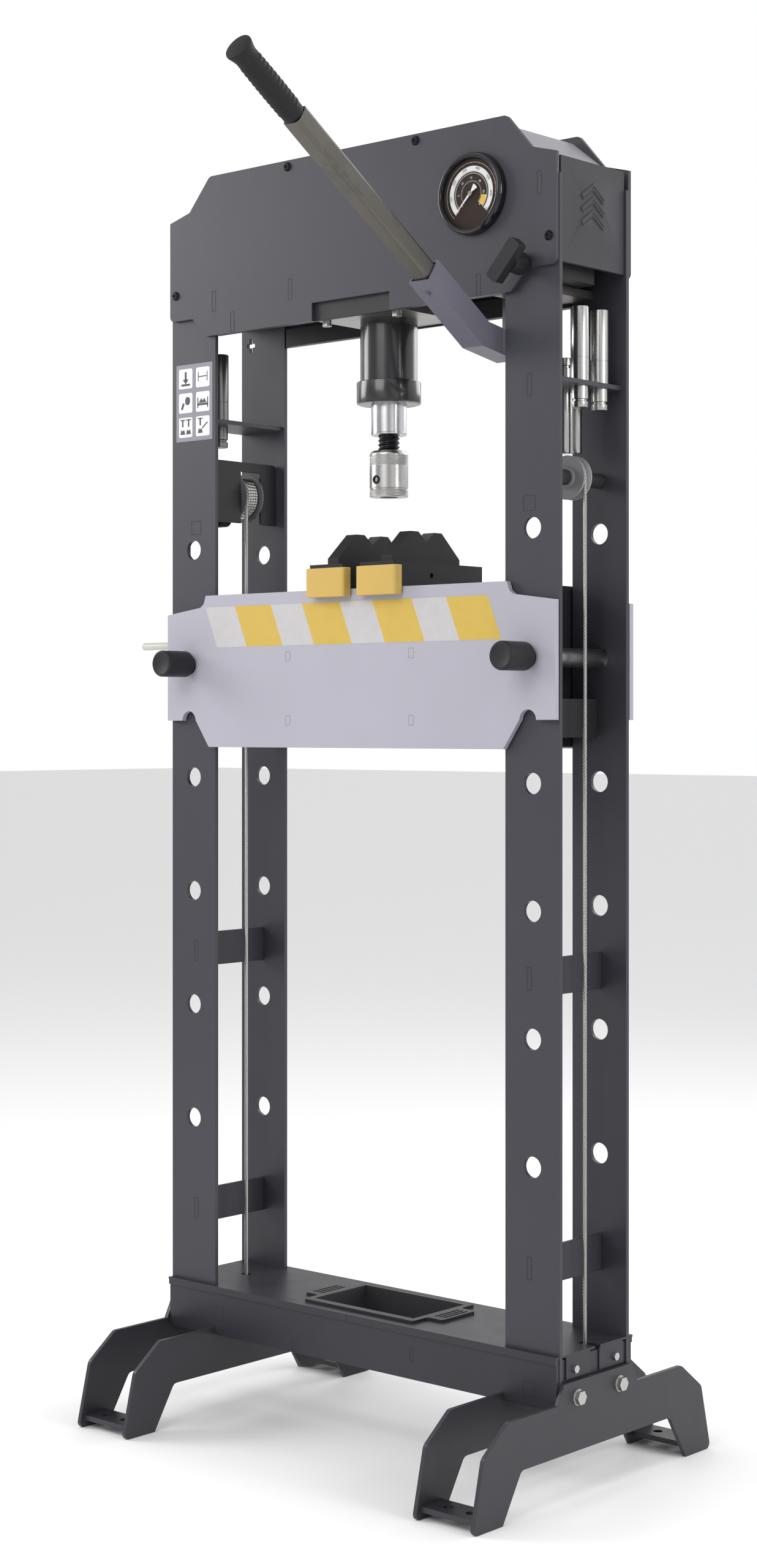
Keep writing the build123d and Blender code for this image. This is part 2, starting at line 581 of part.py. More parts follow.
save("table_front_plate", table_plate(-table_out, -table_in))
save("table_rear_plate", table_plate(table_in, table_out))
spacers = []
ends = []
clamps = []
end_out = inner_x - GUIDE_GAP
bracket_out = hole_x
bracket_z = (977.0, 1028.0)
for side, run_x in ((-1, LEFT_RUN_X), (1, run_inner_x)):
    x = side * TABLE_CROSS_X
    spacers.append(box(x - 4, x + 4, -table_in, table_in, 992, 1100))
    x0, x1 = sorted((side * (end_out - GUIDE_THICK), side * end_out))
    ends.append(box(x0, x1, -table_in, table_in, TABLE_LOW + 2, TABLE_TOP))
    x0, x1 = sorted((side * end_out, side * bracket_out))
    bracket = box(x0, x1, -66, 66, bracket_z[1] - 6, bracket_z[1])
    x0, x1 = sorted((side * (bracket_out - 6), side * bracket_out))
    bracket += box(x0, x1, -66, 66, *bracket_z)
    ends.append(bracket - rod_z(run_x, CABLE_Y, bracket_z[1] - 7, bracket_z[1] + 1, CABLE_D + 3))
    z0 = bracket_z[1] if side < 0 else bracket_z[1] - 24
    sleeve = rod_z(run_x, CABLE_Y, z0, z0 + 18, 13)
    clamps.append(sleeve - rod_z(run_x, CABLE_Y, z0 - 1, z0 + 19, CABLE_D + 2 * LOOSE_GAP))
save("table_spacers", *spacers)
save("table_end_plates", *ends)
save("cable_clamps", *clamps)

# ---------------------------------------------------------------- locking pins
for name, side in (("left", -1), ("right", 1)):
    x = side * hole_x
    front = table_out + PIN_FRONT
    pin = turned(Pos(x, 0, pin_z) * Rot(90, 0, 0), [
        (0, -table_out - PIN_TAIL), (PIN_D / 2 - 2, -table_out - PIN_TAIL),
        (PIN_D / 2, -table_out - PIN_TAIL + 2), (PIN_D / 2, front), (9, front),
        (9, front + PIN_GRIP_LONG - 6), (0, front + PIN_GRIP_LONG - 6),
    ])
    gr = PIN_GRIP_D / 2
    pin_grip = turned(Pos(x, 0, pin_z) * Rot(90, 0, 0), [
        (9, front), (gr - 1, front), (gr, front + 1), (gr, front + PIN_GRIP_LONG - 3),
        (gr - 3, front + PIN_GRIP_LONG), (0, front + PIN_GRIP_LONG), (0, front + PIN_GRIP_LONG - 6),
        (9, front + PIN_GRIP_LONG - 6),
    ])
    save("locking_pin_" + name, pin, pin_grip)

# ---------------------------------------------------------------- press bars
v_outline = [(-V_HALF, bar_top), (V_HALF, bar_top), (V_HALF, bar_top + 10), (33, bar_top + V_TALL),
             (17, bar_top + V_TALL), (0, bar_top + V_TALL - 13), (-17, bar_top + V_TALL),
             (-33, bar_top + V_TALL), (-V_HALF, bar_top + 10)]
for name, (x0, x1), (v0, v1) in (("left", BAR_X[0], V_X[0]), ("right", BAR_X[1], V_X[1])):
    bar = box(x0, x1, *BAR_Y, TABLE_TOP, bar_top)
    bar -= rod_x(-20, TABLE_TOP + BAR_TALL / 2, x0 - 1, x1 + 1, 7)
    save("press_bar_" + name, bar, plate_yz(v_outline, v0, v1))
    y0 = BAR_Y[0] - CAP_FRONT
    cap = box(x0 - CAP_SIDE, x1 + CAP_SIDE, y0, y0 + CAP_LONG, TABLE_TOP - 11, bar_top - 5)
    cap = fillet(cap.edges().filter_by(Axis.Z).group_by(Axis.Y)[0], 4)
    cap -= box(x0, x1, BAR_Y[0], y0 + CAP_LONG + 1, TABLE_TOP, bar_top)
    save("press_cap_" + name, cap)

# ---------------------------------------------------------------- winch
plate_x = LEFT_RUN_X - 1
bracket = box(plate_x - 4, plate_x, -col_in, col_in, DRUM_Z - 40, DRUM_Z + 50)
bracket -= box(plate_x - 5, plate_x + 1, CABLE_Y - 10, drum_rear + 4, DRUM_Z - 41, DRUM_Z + 36)
bracket = fillet(bracket.edges().filter_by(Axis.X).group_by(Axis.Z)[-1], 6)
bearing = box(1 - outer_x, 23 - outer_x, -col_in, WORM_Y + 14, worm_z - 14, worm_z + 14)
bearing -= rod_x(WORM_Y, worm_z, -outer_x, 24 - outer_x, 12 + 2 * RUN_GAP)
save("winch_bracket", bracket, bearing)

AXLE_D = 16.0
dy0 = DRUM_FRONT
dy1 = drum_rear
axle_hole = AXLE_D / 2 + RUN_GAP
core_r = DRUM_R - CABLE_D / 2 - LOOSE_GAP
drum = turned(Pos(drum_x, 0, DRUM_Z) * Rot(-90, 0, 0), [
    (axle_hole, WORM_Y - 5), (wheel_pitch_r - 1.25 * WORM_MODULE, WORM_Y - 5),
    (wheel_pitch_r - 1.25 * WORM_MODULE, WORM_Y + 5), (12, WORM_Y + 5), (12, dy0), (DRUM_FLANGE_R, dy0),
    (DRUM_FLANGE_R, dy0 + DRUM_WALL), (core_r, dy0 + DRUM_WALL), (core_r, dy1 - DRUM_WALL),
    (DRUM_FLANGE_R, dy1 - DRUM_WALL),
    (DRUM_FLANGE_R, dy1), (axle_hole, dy1),
])
tooth_half = 0.7
root_r = wheel_pitch_r - 1.25 * WORM_MODULE
tip_r = wheel_pitch_r + WORM_MODULE
pitch_angle = 360 / WORM_WHEEL_TEETH
tooth = plate_xz([(-tooth_half - 0.6, root_r - 0.5), (tooth_half + 0.6, root_r - 0.5), (0.4, tip_r),
                  (-0.4, tip_r)], WORM_Y - 4, WORM_Y + 4)
teeth = [Pos(drum_x, 0, DRUM_Z) * Rot(0, (i + 0.5) * pitch_angle, 0) * tooth
         for i in range(WORM_WHEEL_TEETH)]
save("winch_drum", drum.fuse(*teeth))
turns = []
for i in range(WINDING_TURNS):
    y = first_turn_y + turn_pitch * i
    turns.append(Pos(drum_x, y, DRUM_Z) * Rot(90, 0, 0) * Torus(DRUM_R, CABLE_D / 2))
save("drum_winding", *turns)

worm_x0 = drum_x - 15
worm_x1 = drum_x + 15
lead = pi * WORM_MODULE
worm_core = WORM_PITCH_R - 1.25 * WORM_MODULE
thread_plane = Plane(origin=(worm_x0 + 4 + lead / 2, WORM_Y, worm_z), x_dir=(0, 0, 1), z_dir=(1, 0, 0))
coil = Helix(pitch=lead, height=5 * lead, radius=worm_core)
thread_tall = 2.25 * WORM_MODULE - 0.6
thread_face = Plane(origin=coil @ 0, x_dir=(1, 0, 0), z_dir=coil % 0) * make_face(Polyline(
    (-0.6, -1.05), (thread_tall, -0.4), (thread_tall, 0.4), (-0.6, 1.05), close=True))
thread = sweep(thread_face, path=coil, is_frenet=True)
shaft = rod_x(WORM_Y, worm_z, CRANK_X, worm_x1, 12)
shaft += rod_x(WORM_Y, worm_z, worm_x0, worm_x1, 2 * worm_core)
shaft = shaft.fuse(thread_plane * thread)
arm_bar = plate_yz([(-8, 12), (8, 12), (8, -CRANK_ARM - 8), (-8, -CRANK_ARM - 8)], CRANK_X, CRANK_X + 6,
                   {0: 7, 1: 7, 2: 7, 3: 7})
shaft += Pos(0, WORM_Y, worm_z) * arm_bar
shaft += rod_x(WORM_Y, handle_z, CRANK_X - CRANK_HANDLE + 4, CRANK_X, 6)
save("worm_crank", shaft)
handle = turned(Pos(CRANK_X, crank_y, handle_z) * Rot(0, -90, 0), [
    (3 + RUN_GAP, 0.5), (5, 0.5), (5.5, 2), (5.5, CRANK_HANDLE - 2), (4.5, CRANK_HANDLE),
    (0, CRANK_HANDLE), (0, CRANK_HANDLE - 3), (3 + RUN_GAP, CRANK_HANDLE - 3),
])
save("crank_handle", handle)

# ---------------------------------------------------------------- cable and pulleys
WHEEL_AXLE_D = 20.0
BASE_AXLE_D = 12.0


def pulley(x, z, rim_r, bore_d, boss_d):
    """Grooved pulley about Y, with a boss on its front face."""
    groove = CABLE_D / 2 + LOOSE_GAP
    low = PULLEY_R - groove
    y0, y1 = pulley_y
    mid = CABLE_Y
    bore = bore_d / 2 + RUN_GAP
    return turned(Pos(x, 0, z) * Rot(-90, 0, 0), [
        (bore, y0 - 4), (boss_d / 2, y0 - 4), (boss_d / 2, y0), (rim_r, y0), (rim_r, y0 + 3),
        (PULLEY_R, mid - groove), (low, mid - groove), (low, mid + groove), (PULLEY_R, mid + groove),
        (rim_r, y1 - 3), (rim_r, y1), (bore, y1),
    ])


save("top_wheel", pulley(wheel_x, WHEEL_Z, WHEEL_RIM_R, WHEEL_AXLE_D, WHEEL_AXLE_D + 8))
save("base_pulley_left", pulley(left_pulley_x, BASE_PULLEY_Z, BASE_RIM_R, BASE_AXLE_D, BASE_AXLE_D + 8))
save("base_pulley_right", pulley(wheel_x, BASE_PULLEY_Z, BASE_RIM_R, BASE_AXLE_D, BASE_AXLE_D + 8))
save("pulley_axles",
     rod_y(wheel_x, WHEEL_Z, -col_in, col_in, WHEEL_AXLE_D),
     rod_y(drum_x, DRUM_Z, -col_in, col_in, AXLE_D),
     rod_y(left_pulley_x, BASE_PULLEY_Z, -col_out, col_out, BASE_AXLE_D),
     rod_y(wheel_x, BASE_PULLEY_Z, -col_in, col_in, BASE_AXLE_D))


def cable_bend(x, z, radius, start, sweep_angle):
    """Part of a turn of cable about a pulley centre, from an angle up from +X."""
    ring = revolve(Pos(radius, 0, 0) * Circle(CABLE_D / 2), Axis((0, 0, 0), (0, 1, 0)), sweep_angle)
    return Pos(x, CABLE_Y, z) * Rot(0, -start, 0) * ring


cable = rod_z(LEFT_RUN_X, CABLE_Y, BASE_PULLEY_Z, DRUM_Z, CABLE_D)
cable += cable_bend(drum_x, DRUM_Z, DRUM_R, 200, 200)
cable += cable_bend(left_pulley_x, BASE_PULLEY_Z, PULLEY_R, 270, 90)
cable += rod_x(CABLE_Y, cable_low_z, left_pulley_x, wheel_x, CABLE_D)
cable += cable_bend(wheel_x, BASE_PULLEY_Z, PULLEY_R, 360, 90)
cable += rod_z(run_right_x, CABLE_Y, BASE_PULLEY_Z, WHEEL_Z, CABLE_D)
cable += cable_bend(wheel_x, WHEEL_Z, PULLEY_R, 180, 180)
cable += rod_z(run_inner_x, CABLE_Y, bracket_z[1] - 26, WHEEL_Z, CABLE_D)
save("hoist_cable", cable)

# ---------------------------------------------------------------- tool racks and arbors
right_shelf = box(inner_x + 10, outer_x - 8, -col_in, col_in, SHELF_Z, SHELF_Z + SHELF_THICK)
neck_d = 22.0
big_d = 24.0
thin_d = 16.0
for x, y in BIG_ARBORS:
    right_shelf -= rod_z(x, y, SHELF_Z - 1, SHELF_Z + 9, neck_d + 2 * LOOSE_GAP)
for x, y, hang in THIN_ARBORS:
    right_shelf -= rod_z(x, y, SHELF_Z - 1, SHELF_Z + 9, thin_d + 2 * LOOSE_GAP)
left_shelf = box(2 - outer_x, -inner_x - 5, -col_in, col_in, LEFT_SHELF_Z, LEFT_SHELF_Z + SHELF_THICK)
left_shelf -= rod_z(*LEFT_ARBOR, LEFT_SHELF_Z - 1, LEFT_SHELF_Z + 9, neck_d + 2 * LOOSE_GAP)
save("tool_racks", right_shelf, left_shelf)


def big_arbor(x, y, rest_z, low, high):
    """Arbor standing on its shoulder, its grooved neck through the shelf."""
    nr = neck_d / 2
    return turned(Pos(x, y, rest_z), [
        (0, low), (nr - 1.5, low), (nr, low + 1.5), (nr, low + 8), (nr - 2, low + 9), (nr - 2, low + 11),
        (nr, low + 12), (nr, 0), (big_d / 2, 0), (big_d / 2, high - 1.5), (big_d / 2 - 1.5, high), (0, high),
    ])


def thin_arbor(x, y, rest_z, high, hang):
    """Arbor hanging by its grooved head, its thin end through the shelf."""
    nr = neck_d / 2
    tr = thin_d / 2
    return turned(Pos(x, y, rest_z), [
        (0, -hang), (tr - 1, -hang), (tr, 1 - hang), (tr, 0), (nr, 0), (nr, high - 14), (nr - 2, high - 13),
        (nr - 2, high - 11), (nr, high - 10), (nr, high - 1.5), (nr - 1.5, high), (0, high),
    ])


shelf_top = SHELF_Z + SHELF_THICK
for i, (x, y) in enumerate(BIG_ARBORS):
    save(f"arbor_big_{i + 1}", big_arbor(x, y, shelf_top, -35, 98))
for i, (x, y, hang) in enumerate(THIN_ARBORS):
    save(f"arbor_thin_{i + 1}", thin_arbor(x, y, shelf_top, 36, hang))
save("arbor_left", big_arbor(*LEFT_ARBOR, LEFT_SHELF_Z + SHELF_THICK, -36, 101))

# ---------------------------------------------------------------- base
end_x = outer_x - 8
base = [box(-side_half, side_half, col_out, side_out, BASE_BOTTOM, BASE_TOP),
        box(-side_half, side_half, -side_out, -col_out, BASE_BOTTOM, BASE_TOP)]
for side in (-1, 1):
    x0, x1 = sorted((side * end_x, side * (end_x + 6)))
    end = box(x0, x1, -col_in, col_in, BASE_BOTTOM + 4, BASE_TOP - 3)
    for y, z in (FOOT_BOLT, FLAP_BOLT):
        for s in (-1, 1):
            end -= rod_x(s * y, z, x0 - 1, x1 + 1, 10 if z == FOOT_BOLT[1] else 6)
    base.append(end)
rib_outline = [(-66, RIB_Z[0]), (66, RIB_Z[0]), (80, 112), (80, BASE_BOTTOM), (col_out, BASE_BOTTOM),
               (col_out, RIB_Z[1]), (-col_out, RIB_Z[1]), (-col_out, BASE_BOTTOM), (-80, BASE_BOTTOM),
               (-80, 112)]
for x in RIB_X:
    rib = plate_yz(rib_outline, x - 1.5, x + 1.5, {0: 6, 1: 6})
    base.append(rib - rod_x(CABLE_Y, cable_low_z, x - 3, x + 3, 12))
save("base_plates", *base)

tray_in_x = TRAY_X - 6
tray_in_y = TRAY_Y - 9
sheet_y = side_out + BASE_LIP
flap_x = outer_x
sheet = box(-flap_x, flap_x, -sheet_y, sheet_y, BASE_TOP, cover_z)
for s in (-1, 1):
    y0, y1 = sorted((s * side_out, s * sheet_y))
    sheet += box(-side_half, side_half, y0, y1, BASE_TOP - 7, BASE_TOP)
for side in (-1, 1):
    x0, x1 = sorted((side * (flap_x - 2), side * flap_x))
    for s in (-1, 1):
        y0, y1 = sorted((s * 10, s * 62))
        flap = box(x0, x1, y0, y1, FLAP_LOW, BASE_TOP + 1)
        flap -= rod_x(s * FLAP_BOLT[0], FLAP_BOLT[1], x0 - 1, x1 + 1, 6)
        sheet += flap
        y0, y1 = sorted((s * (col_in - 0.5), s * (col_out + 0.5)))
        x2, x3 = sorted((side * (inner_x - 0.5), side * (outer_x + 1)))
        sheet -= box(x2, x3, y0, y1, BASE_TOP - 10, cover_z + 1)
sheet -= box(-tray_in_x, tray_in_x, -tray_in_y, tray_in_y, BASE_TOP - 10, cover_z + 1)
sheet -= rod_z(LEFT_RUN_X, CABLE_Y, BASE_TOP - 1, cover_z + 1, 14)
sheet -= box(run_right_x - 8, flap_x + 1, CABLE_Y - 6, CABLE_Y + 6, BASE_TOP - 1, cover_z + 1)
seam = box(-5.2, -4.8, -sheet_y - 1, sheet_y + 1, BASE_TOP - 10, cover_z + 1)
save("base_cover", sheet - seam)

fo_x = outer_x
bolts = []
for side in (-1, 1):
    for s in (-1, 1):
        y, z = FOOT_BOLT
        hex_head = extrude(RegularPolygon(9.5, 6), amount=6.5)
        head_seat = (side * (fo_x + FOOT_THICK), s * y, z)
        facing_out = Plane(origin=head_seat, x_dir=(0, 1, 0), z_dir=(side, 0, 0))
        x0, x1 = sorted((side * end_x, side * (fo_x + FOOT_THICK)))
        washer = facing_out * Pos(0, 0, 0.75) * Cylinder(10.5, 1.5)
        bolts.append(facing_out * Pos(0, 0, 1.5) * hex_head + washer + rod_x(s * y, z, x0, x1, 10))
        y, z = FLAP_BOLT
        small = extrude(RegularPolygon(5.5, 6), amount=4)
        facing_out = Plane(origin=(side * flap_x, s * y, z), x_dir=(0, 1, 0), z_dir=(side, 0, 0))
        x0, x1 = sorted((side * end_x, side * flap_x))
        bolts.append(facing_out * small + rod_x(s * y, z, x0, x1, 6))
save("base_bolts", *bolts)

# ---------------------------------------------------------------- feet
leg0, leg1 = FOOT_LEG
arch = [(-163, 61), (-leg0, 0), (-leg1, 0), (-238, 90), (-190, 126)]
outer_foot = arch + [(-side_out - 5, 126), (-74, FOOT_TOP), (74, FOOT_TOP), (side_out + 5, 126)]
outer_foot += [(-y, z) for y, z in reversed(arch)]
inner_foot = arch + [(-side_out, 126), (-side_out, BASE_BOTTOM), (side_out, BASE_BOTTOM), (side_out, 126)]
inner_foot += [(-y, z) for y, z in reversed(arch)]
foot_radii = {0: 10, 2: 8, 3: 12, 4: 12, 9: 12, 10: 12, 11: 8, 13: 10}
feet = []
in_x = fo_x - FOOT_GAP
for side in (-1, 1):
    x0, x1 = sorted((side * fo_x, side * (fo_x + FOOT_THICK)))
    outer_plate = plate_yz(outer_foot, x0, x1, foot_radii)
    for s in (-1, 1):
        outer_plate -= rod_x(s * FOOT_BOLT[0], FOOT_BOLT[1], x0 - 1, x1 + 1, 10)
    x0, x1 = sorted((side * (in_x - FOOT_THICK), side * in_x))
    inner_plate = plate_yz(inner_foot, x0, x1, foot_radii)
    feet += [outer_plate, inner_plate]
    x0, x1 = sorted((side * in_x, side * fo_x))
    for s in (-1, 1):
        y0, y1 = sorted((s * ANCHOR_Y[0], s * ANCHOR_Y[1]))
        anchor = box(x0, x1, y0, y1, ANCHOR_Z, ANCHOR_Z + ANCHOR_THICK)
        for x in ANCHOR_X:
            anchor -= rod_z(side * x, s * (ANCHOR_Y[0] + ANCHOR_Y[1]) / 2, 0, 30, ANCHOR_D)
        feet.append(anchor)
save("foot_plates", *feet)

# ---------------------------------------------------------------- drip tray
rim = box(-TRAY_X, TRAY_X, -TRAY_Y, TRAY_Y, cover_z, cover_z + TRAY_RIM)
rim += box(-TRAY_X - TRAY_HANDLE, TRAY_X + TRAY_HANDLE, -36, 36, cover_z, cover_z + TRAY_RIM)
rim = fillet(rim.edges().filter_by(Axis.Z), 5)
mouth_x = tray_in_x - 0.8
mouth_y = tray_in_y - 0.8
floor_x = mouth_x - 9
floor_y = mouth_y - 9


def tub(dx, dy, z0, z1, lower_x, lower_y):
    top_face = Plane.XY.offset(z1) * Rectangle(2 * dx, 2 * dy)
    low_face = Plane.XY.offset(z0) * Rectangle(2 * lower_x, 2 * lower_y)
    return loft([low_face, top_face])


w = TRAY_WALL
top_z = cover_z + TRAY_RIM
outside = tub(mouth_x, mouth_y, TRAY_FLOOR - w, cover_z + 1, floor_x, floor_y)
inside = tub(mouth_x - w, mouth_y - w, TRAY_FLOOR, top_z + 1, floor_x - w, floor_y - w)
tray = rim + outside - inside
for side in (-1, 1):
    for i in (-1, 0, 1):
        slot = Pos(side * (TRAY_X + 5 + 7 * (i + 1)), 0, cover_z) * Box(3.5, 52, 20)
        tray -= slot
save("drip_tray", tray)
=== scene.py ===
import bmesh
import bpy
import numpy as np
from math import cos, pi, radians, sin
from mathutils import Matrix, Vector


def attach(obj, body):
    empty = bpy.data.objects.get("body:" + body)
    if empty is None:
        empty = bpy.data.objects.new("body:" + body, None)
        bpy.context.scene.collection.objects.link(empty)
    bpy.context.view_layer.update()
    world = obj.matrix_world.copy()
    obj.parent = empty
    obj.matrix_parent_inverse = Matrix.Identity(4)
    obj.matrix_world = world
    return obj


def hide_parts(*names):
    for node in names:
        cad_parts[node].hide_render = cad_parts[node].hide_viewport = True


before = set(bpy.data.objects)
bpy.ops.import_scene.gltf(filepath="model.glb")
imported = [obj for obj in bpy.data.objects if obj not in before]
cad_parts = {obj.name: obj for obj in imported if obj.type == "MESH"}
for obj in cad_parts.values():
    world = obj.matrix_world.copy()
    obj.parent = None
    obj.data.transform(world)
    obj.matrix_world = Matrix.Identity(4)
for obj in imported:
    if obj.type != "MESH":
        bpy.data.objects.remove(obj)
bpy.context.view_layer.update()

# Studio: the press stands on a pale floor and is seen from the front right, level with its middle.
# Four soft lamps stand round it. The room's own light has wide pale and dim bands, which give bare
# steel and chrome something to mirror, while the camera itself sees plain white behind the press.
bpy.ops.object.camera_add(location=(2.2827, -2.6538, 0.9922), rotation=(radians(90), 0, radians(42.25)))
camera = bpy.context.object
camera.data.sensor_width = 36
camera.data.lens = 57.61
camera.data.shift_x = 0.0366
camera.data.shift_y = -0.0370
bpy.context.scene.camera = camera

for place, size, power, aim in (
    ((0.4, -3.6, 3.2), 2.2, 58, (0, 0, 1.0)),
    ((-3.2, -1.6, 2.4), 1.6, 50, (0, 0, 1.0)),
    ((3.6, 0.2, 2.2), 1.2, 30, (0, 0, 1.1)),
    ((0.4, 3.2, 2.8), 2.0, 40, (0, 0, 1.2)),
):
    lamp = bpy.data.lights.new("studio_lamp", "AREA")
    lamp.energy = power
    lamp.size = size
    holder = bpy.data.objects.new("studio_lamp", lamp)
    holder.location = place
    holder.rotation_euler = (Vector(place) - Vector(aim)).to_track_quat("Z", "Y").to_euler()
    bpy.context.scene.collection.objects.link(holder)
sky = bpy.data.worlds.new("studio")
sky.use_nodes = True
sky.node_tree.nodes["Background"].inputs["Color"].default_value = (1, 1, 1, 1)
seen = sky.node_tree.nodes.new("ShaderNodeLightPath").outputs["Is Camera Ray"]
around = sky.node_tree.nodes.new("ShaderNodeTexWave")
around.wave_type = "BANDS"
around.bands_direction = "DIAGONAL"
around.inputs["Scale"].default_value = 0.55
around.inputs["Distortion"].default_value = 0.0
direction = sky.node_tree.nodes.new("ShaderNodeTexCoord").outputs["Generated"]
sky.node_tree.links.new(direction, around.inputs["Vector"])
dim_band, pale_band = 0.38, 1.12
room = sky.node_tree.nodes.new("ShaderNodeMapRange")
room.inputs["To Min"].default_value = dim_band
room.inputs["To Max"].default_value = pale_band
sky.node_tree.links.new(around.outputs["Fac"], room.inputs["Value"])
backdrop = sky.node_tree.nodes.new("ShaderNodeMapRange")
backdrop.inputs["To Max"].default_value = 1.0
sky.node_tree.links.new(seen, backdrop.inputs["Value"])
sky.node_tree.links.new(room.outputs[0], backdrop.inputs["To Min"])
sky.node_tree.links.new(backdrop.outputs[0], sky.node_tree.nodes["Background"].inputs["Strength"])
bpy.context.scene.world = sky
bpy.context.scene.view_settings.view_transform = "Standard"

ground = bpy.data.meshes.new("floor")
far = 40
ground.from_pydata([(-far, -far, 0), (far, -far, 0), (far, far, 0), (-far, far, 0)], [], [(0, 1, 2, 3)])
floor = bpy.data.objects.new("floor", ground)
bpy.context.scene.collection.objects.link(floor)
floor_paint = bpy.data.materials.new("pale_floor")
floor_paint.use_nodes = True
floor_shader = floor_paint.node_tree.nodes["Principled BSDF"]
floor_shader.inputs["Base Color"].default_value = (0.96, 0.96, 0.96, 1)
floor_shader.inputs["Roughness"].default_value = 0.7
ground.materials.append(floor_paint)


# Columns and braces: 6 mm laser-cut steel plates, powder coated dark grey after welding.
# Each column is a front and a rear plate; short plates on edge tie them together.
# The coating is smooth with a faint orange peel and shows the plates' slightly softened edges.
class Sig:
    """One socket of a material. Arithmetic on it adds Math nodes to that material."""

    def __init__(self, tree, socket):
        self.tree = tree
        self.socket = socket

    def node(self, kind, settings, sockets, out=0):
        """Any other node: its type, its settings, then its sockets' values or links."""
        made = self.tree.nodes.new(kind)
        for key, value in settings.items():
            setattr(made, key, value)
        for key, value in sockets.items():
            if isinstance(value, Sig):
                self.tree.links.new(value.socket, made.inputs[key])
            else:
                made.inputs[key].default_value = value
        return Sig(self.tree, made.outputs[out])

    def math(self, operation, *values):
        return self.node("ShaderNodeMath", {"operation": operation}, dict(enumerate(values)))

    def __add__(self, other):
        return self.math("ADD", self, other)

    def __radd__(self, other):
        return self.math("ADD", other, self)

    def __sub__(self, other):
        return self.math("SUBTRACT", self, other)

    def __rsub__(self, other):
        return self.math("SUBTRACT", other, self)

    def __mul__(self, other):
        return self.math("MULTIPLY", self, other)

    def __rmul__(self, other):
        return self.math("MULTIPLY", other, self)

    def __truediv__(self, other):
        return self.math("DIVIDE", self, other)

    def __gt__(self, other):
        return self.math("GREATER_THAN", self, other)

    def __lt__(self, other):
        return self.math("LESS_THAN", self, other)

    def axis(self, which):
        """One coordinate of a position: 0, 1 or 2."""
        return self.node("ShaderNodeSeparateXYZ", {}, {0: self}, out=which)

    def noise(self, scale, detail=2.0, roughness=0.5):
        """Noise at this position, with this many lumps to the metre."""
        return self.node("ShaderNodeTexNoise", {}, {"Vector": self, "Scale": scale, "Detail": detail,
                                                    "Roughness": roughness})

    def stretch(self, x, y, z):
        """This position drawn out by a factor along each axis."""
        return self.node("ShaderNodeMapping", {}, {"Vector": self, "Scale": (x, y, z)})

    def mix(self, first, second):
        """A colour between two, with this mask as the share of the second."""
        return self.node("ShaderNodeMix", {"data_type": "RGBA"}, {0: self, 6: first, 7: second}, out=2)


def rgb(r, g, b):
    """A colour given as the 0 to 255 values it is seen at, made linear."""
    return tuple(((v / 255 + 0.055) / 1.055) ** 2.4 if v > 10 else v / 255 / 12.92 for v in (r, g, b)) + (1,)


def start_finish(name, **fixed):
    """A new material: its Principled shader takes fixed values, and Object coordinates are ready."""
    finish = bpy.data.materials.new(name)
    finish.use_nodes = True
    tree = finish.node_tree
    shader = tree.nodes["Principled BSDF"]
    for key, value in fixed.items():
        shader.inputs[key.replace("_", " ")].default_value = value
    return finish, shader, Sig(tree, tree.nodes.new("ShaderNodeTexCoord").outputs["Object"])


def end_finish(shader, colour, rough, height, depth):
    """Links a material's colour, roughness and a bump of that height times depth in metres."""
    tree = colour.tree
    tree.links.new(colour.socket, shader.inputs["Base Color"])
    tree.links.new(rough.socket, shader.inputs["Roughness"])
    bump = height.node("ShaderNodeBump", {}, {"Strength": 1.0, "Distance": depth, "Height": height})
    tree.links.new(bump.socket, shader.inputs["Normal"])


def coating(name, tone, rough, peel=0.00006, dust=0.03, coat=0.0, sheen=0.4):
    """Powder coat or moulded gloss: a tone that drifts a little, fine grit and an orange peel."""
    finish, shader, at = start_finish(name, Coat_Weight=coat, Coat_Roughness=0.12, Specular_IOR_Level=sheen)
    drift = at.noise(3.5, 3.0)
    grit = at.noise(1500.0, 2.0)
    rub = at.stretch(1.0, 1.0, 0.25).noise(40.0, 4.0, 0.65)
    dark = tuple(c * 0.86 for c in tone[:3]) + (1,)
    pale = tuple(min(1, c * 1.12 + dust * 0.12) for c in tone[:3]) + (1,)
    share = drift * 0.6 + grit * 0.4
    colour = share.mix(dark, pale)
    speck = (grit > 0.73) * 0.25
    colour = speck.mix(colour, tuple(min(1, c * 1.25 + dust) for c in tone[:3]) + (1,))
    gloss = rub * 0.16 + grit * 0.06 + (rough - 0.11)
    height = at.noise(420.0, 2.0) * 0.7 + grit * 0.3
    end_finish(shader, colour, gloss, height, peel)
    return finish


crisp_angle = radians(32)
bevel_angle = radians(38)
flat_angle = radians(0.6)
weld_gap = 2e-6


def smooth(mesh):
    """Smooth faces, with edges sharper than the crisp angle left as they are."""
    mesh.polygons.foreach_set("use_smooth", np.ones(len(mesh.polygons), dtype=bool))
    mesh.set_sharp_from_angle(angle=crisp_angle)


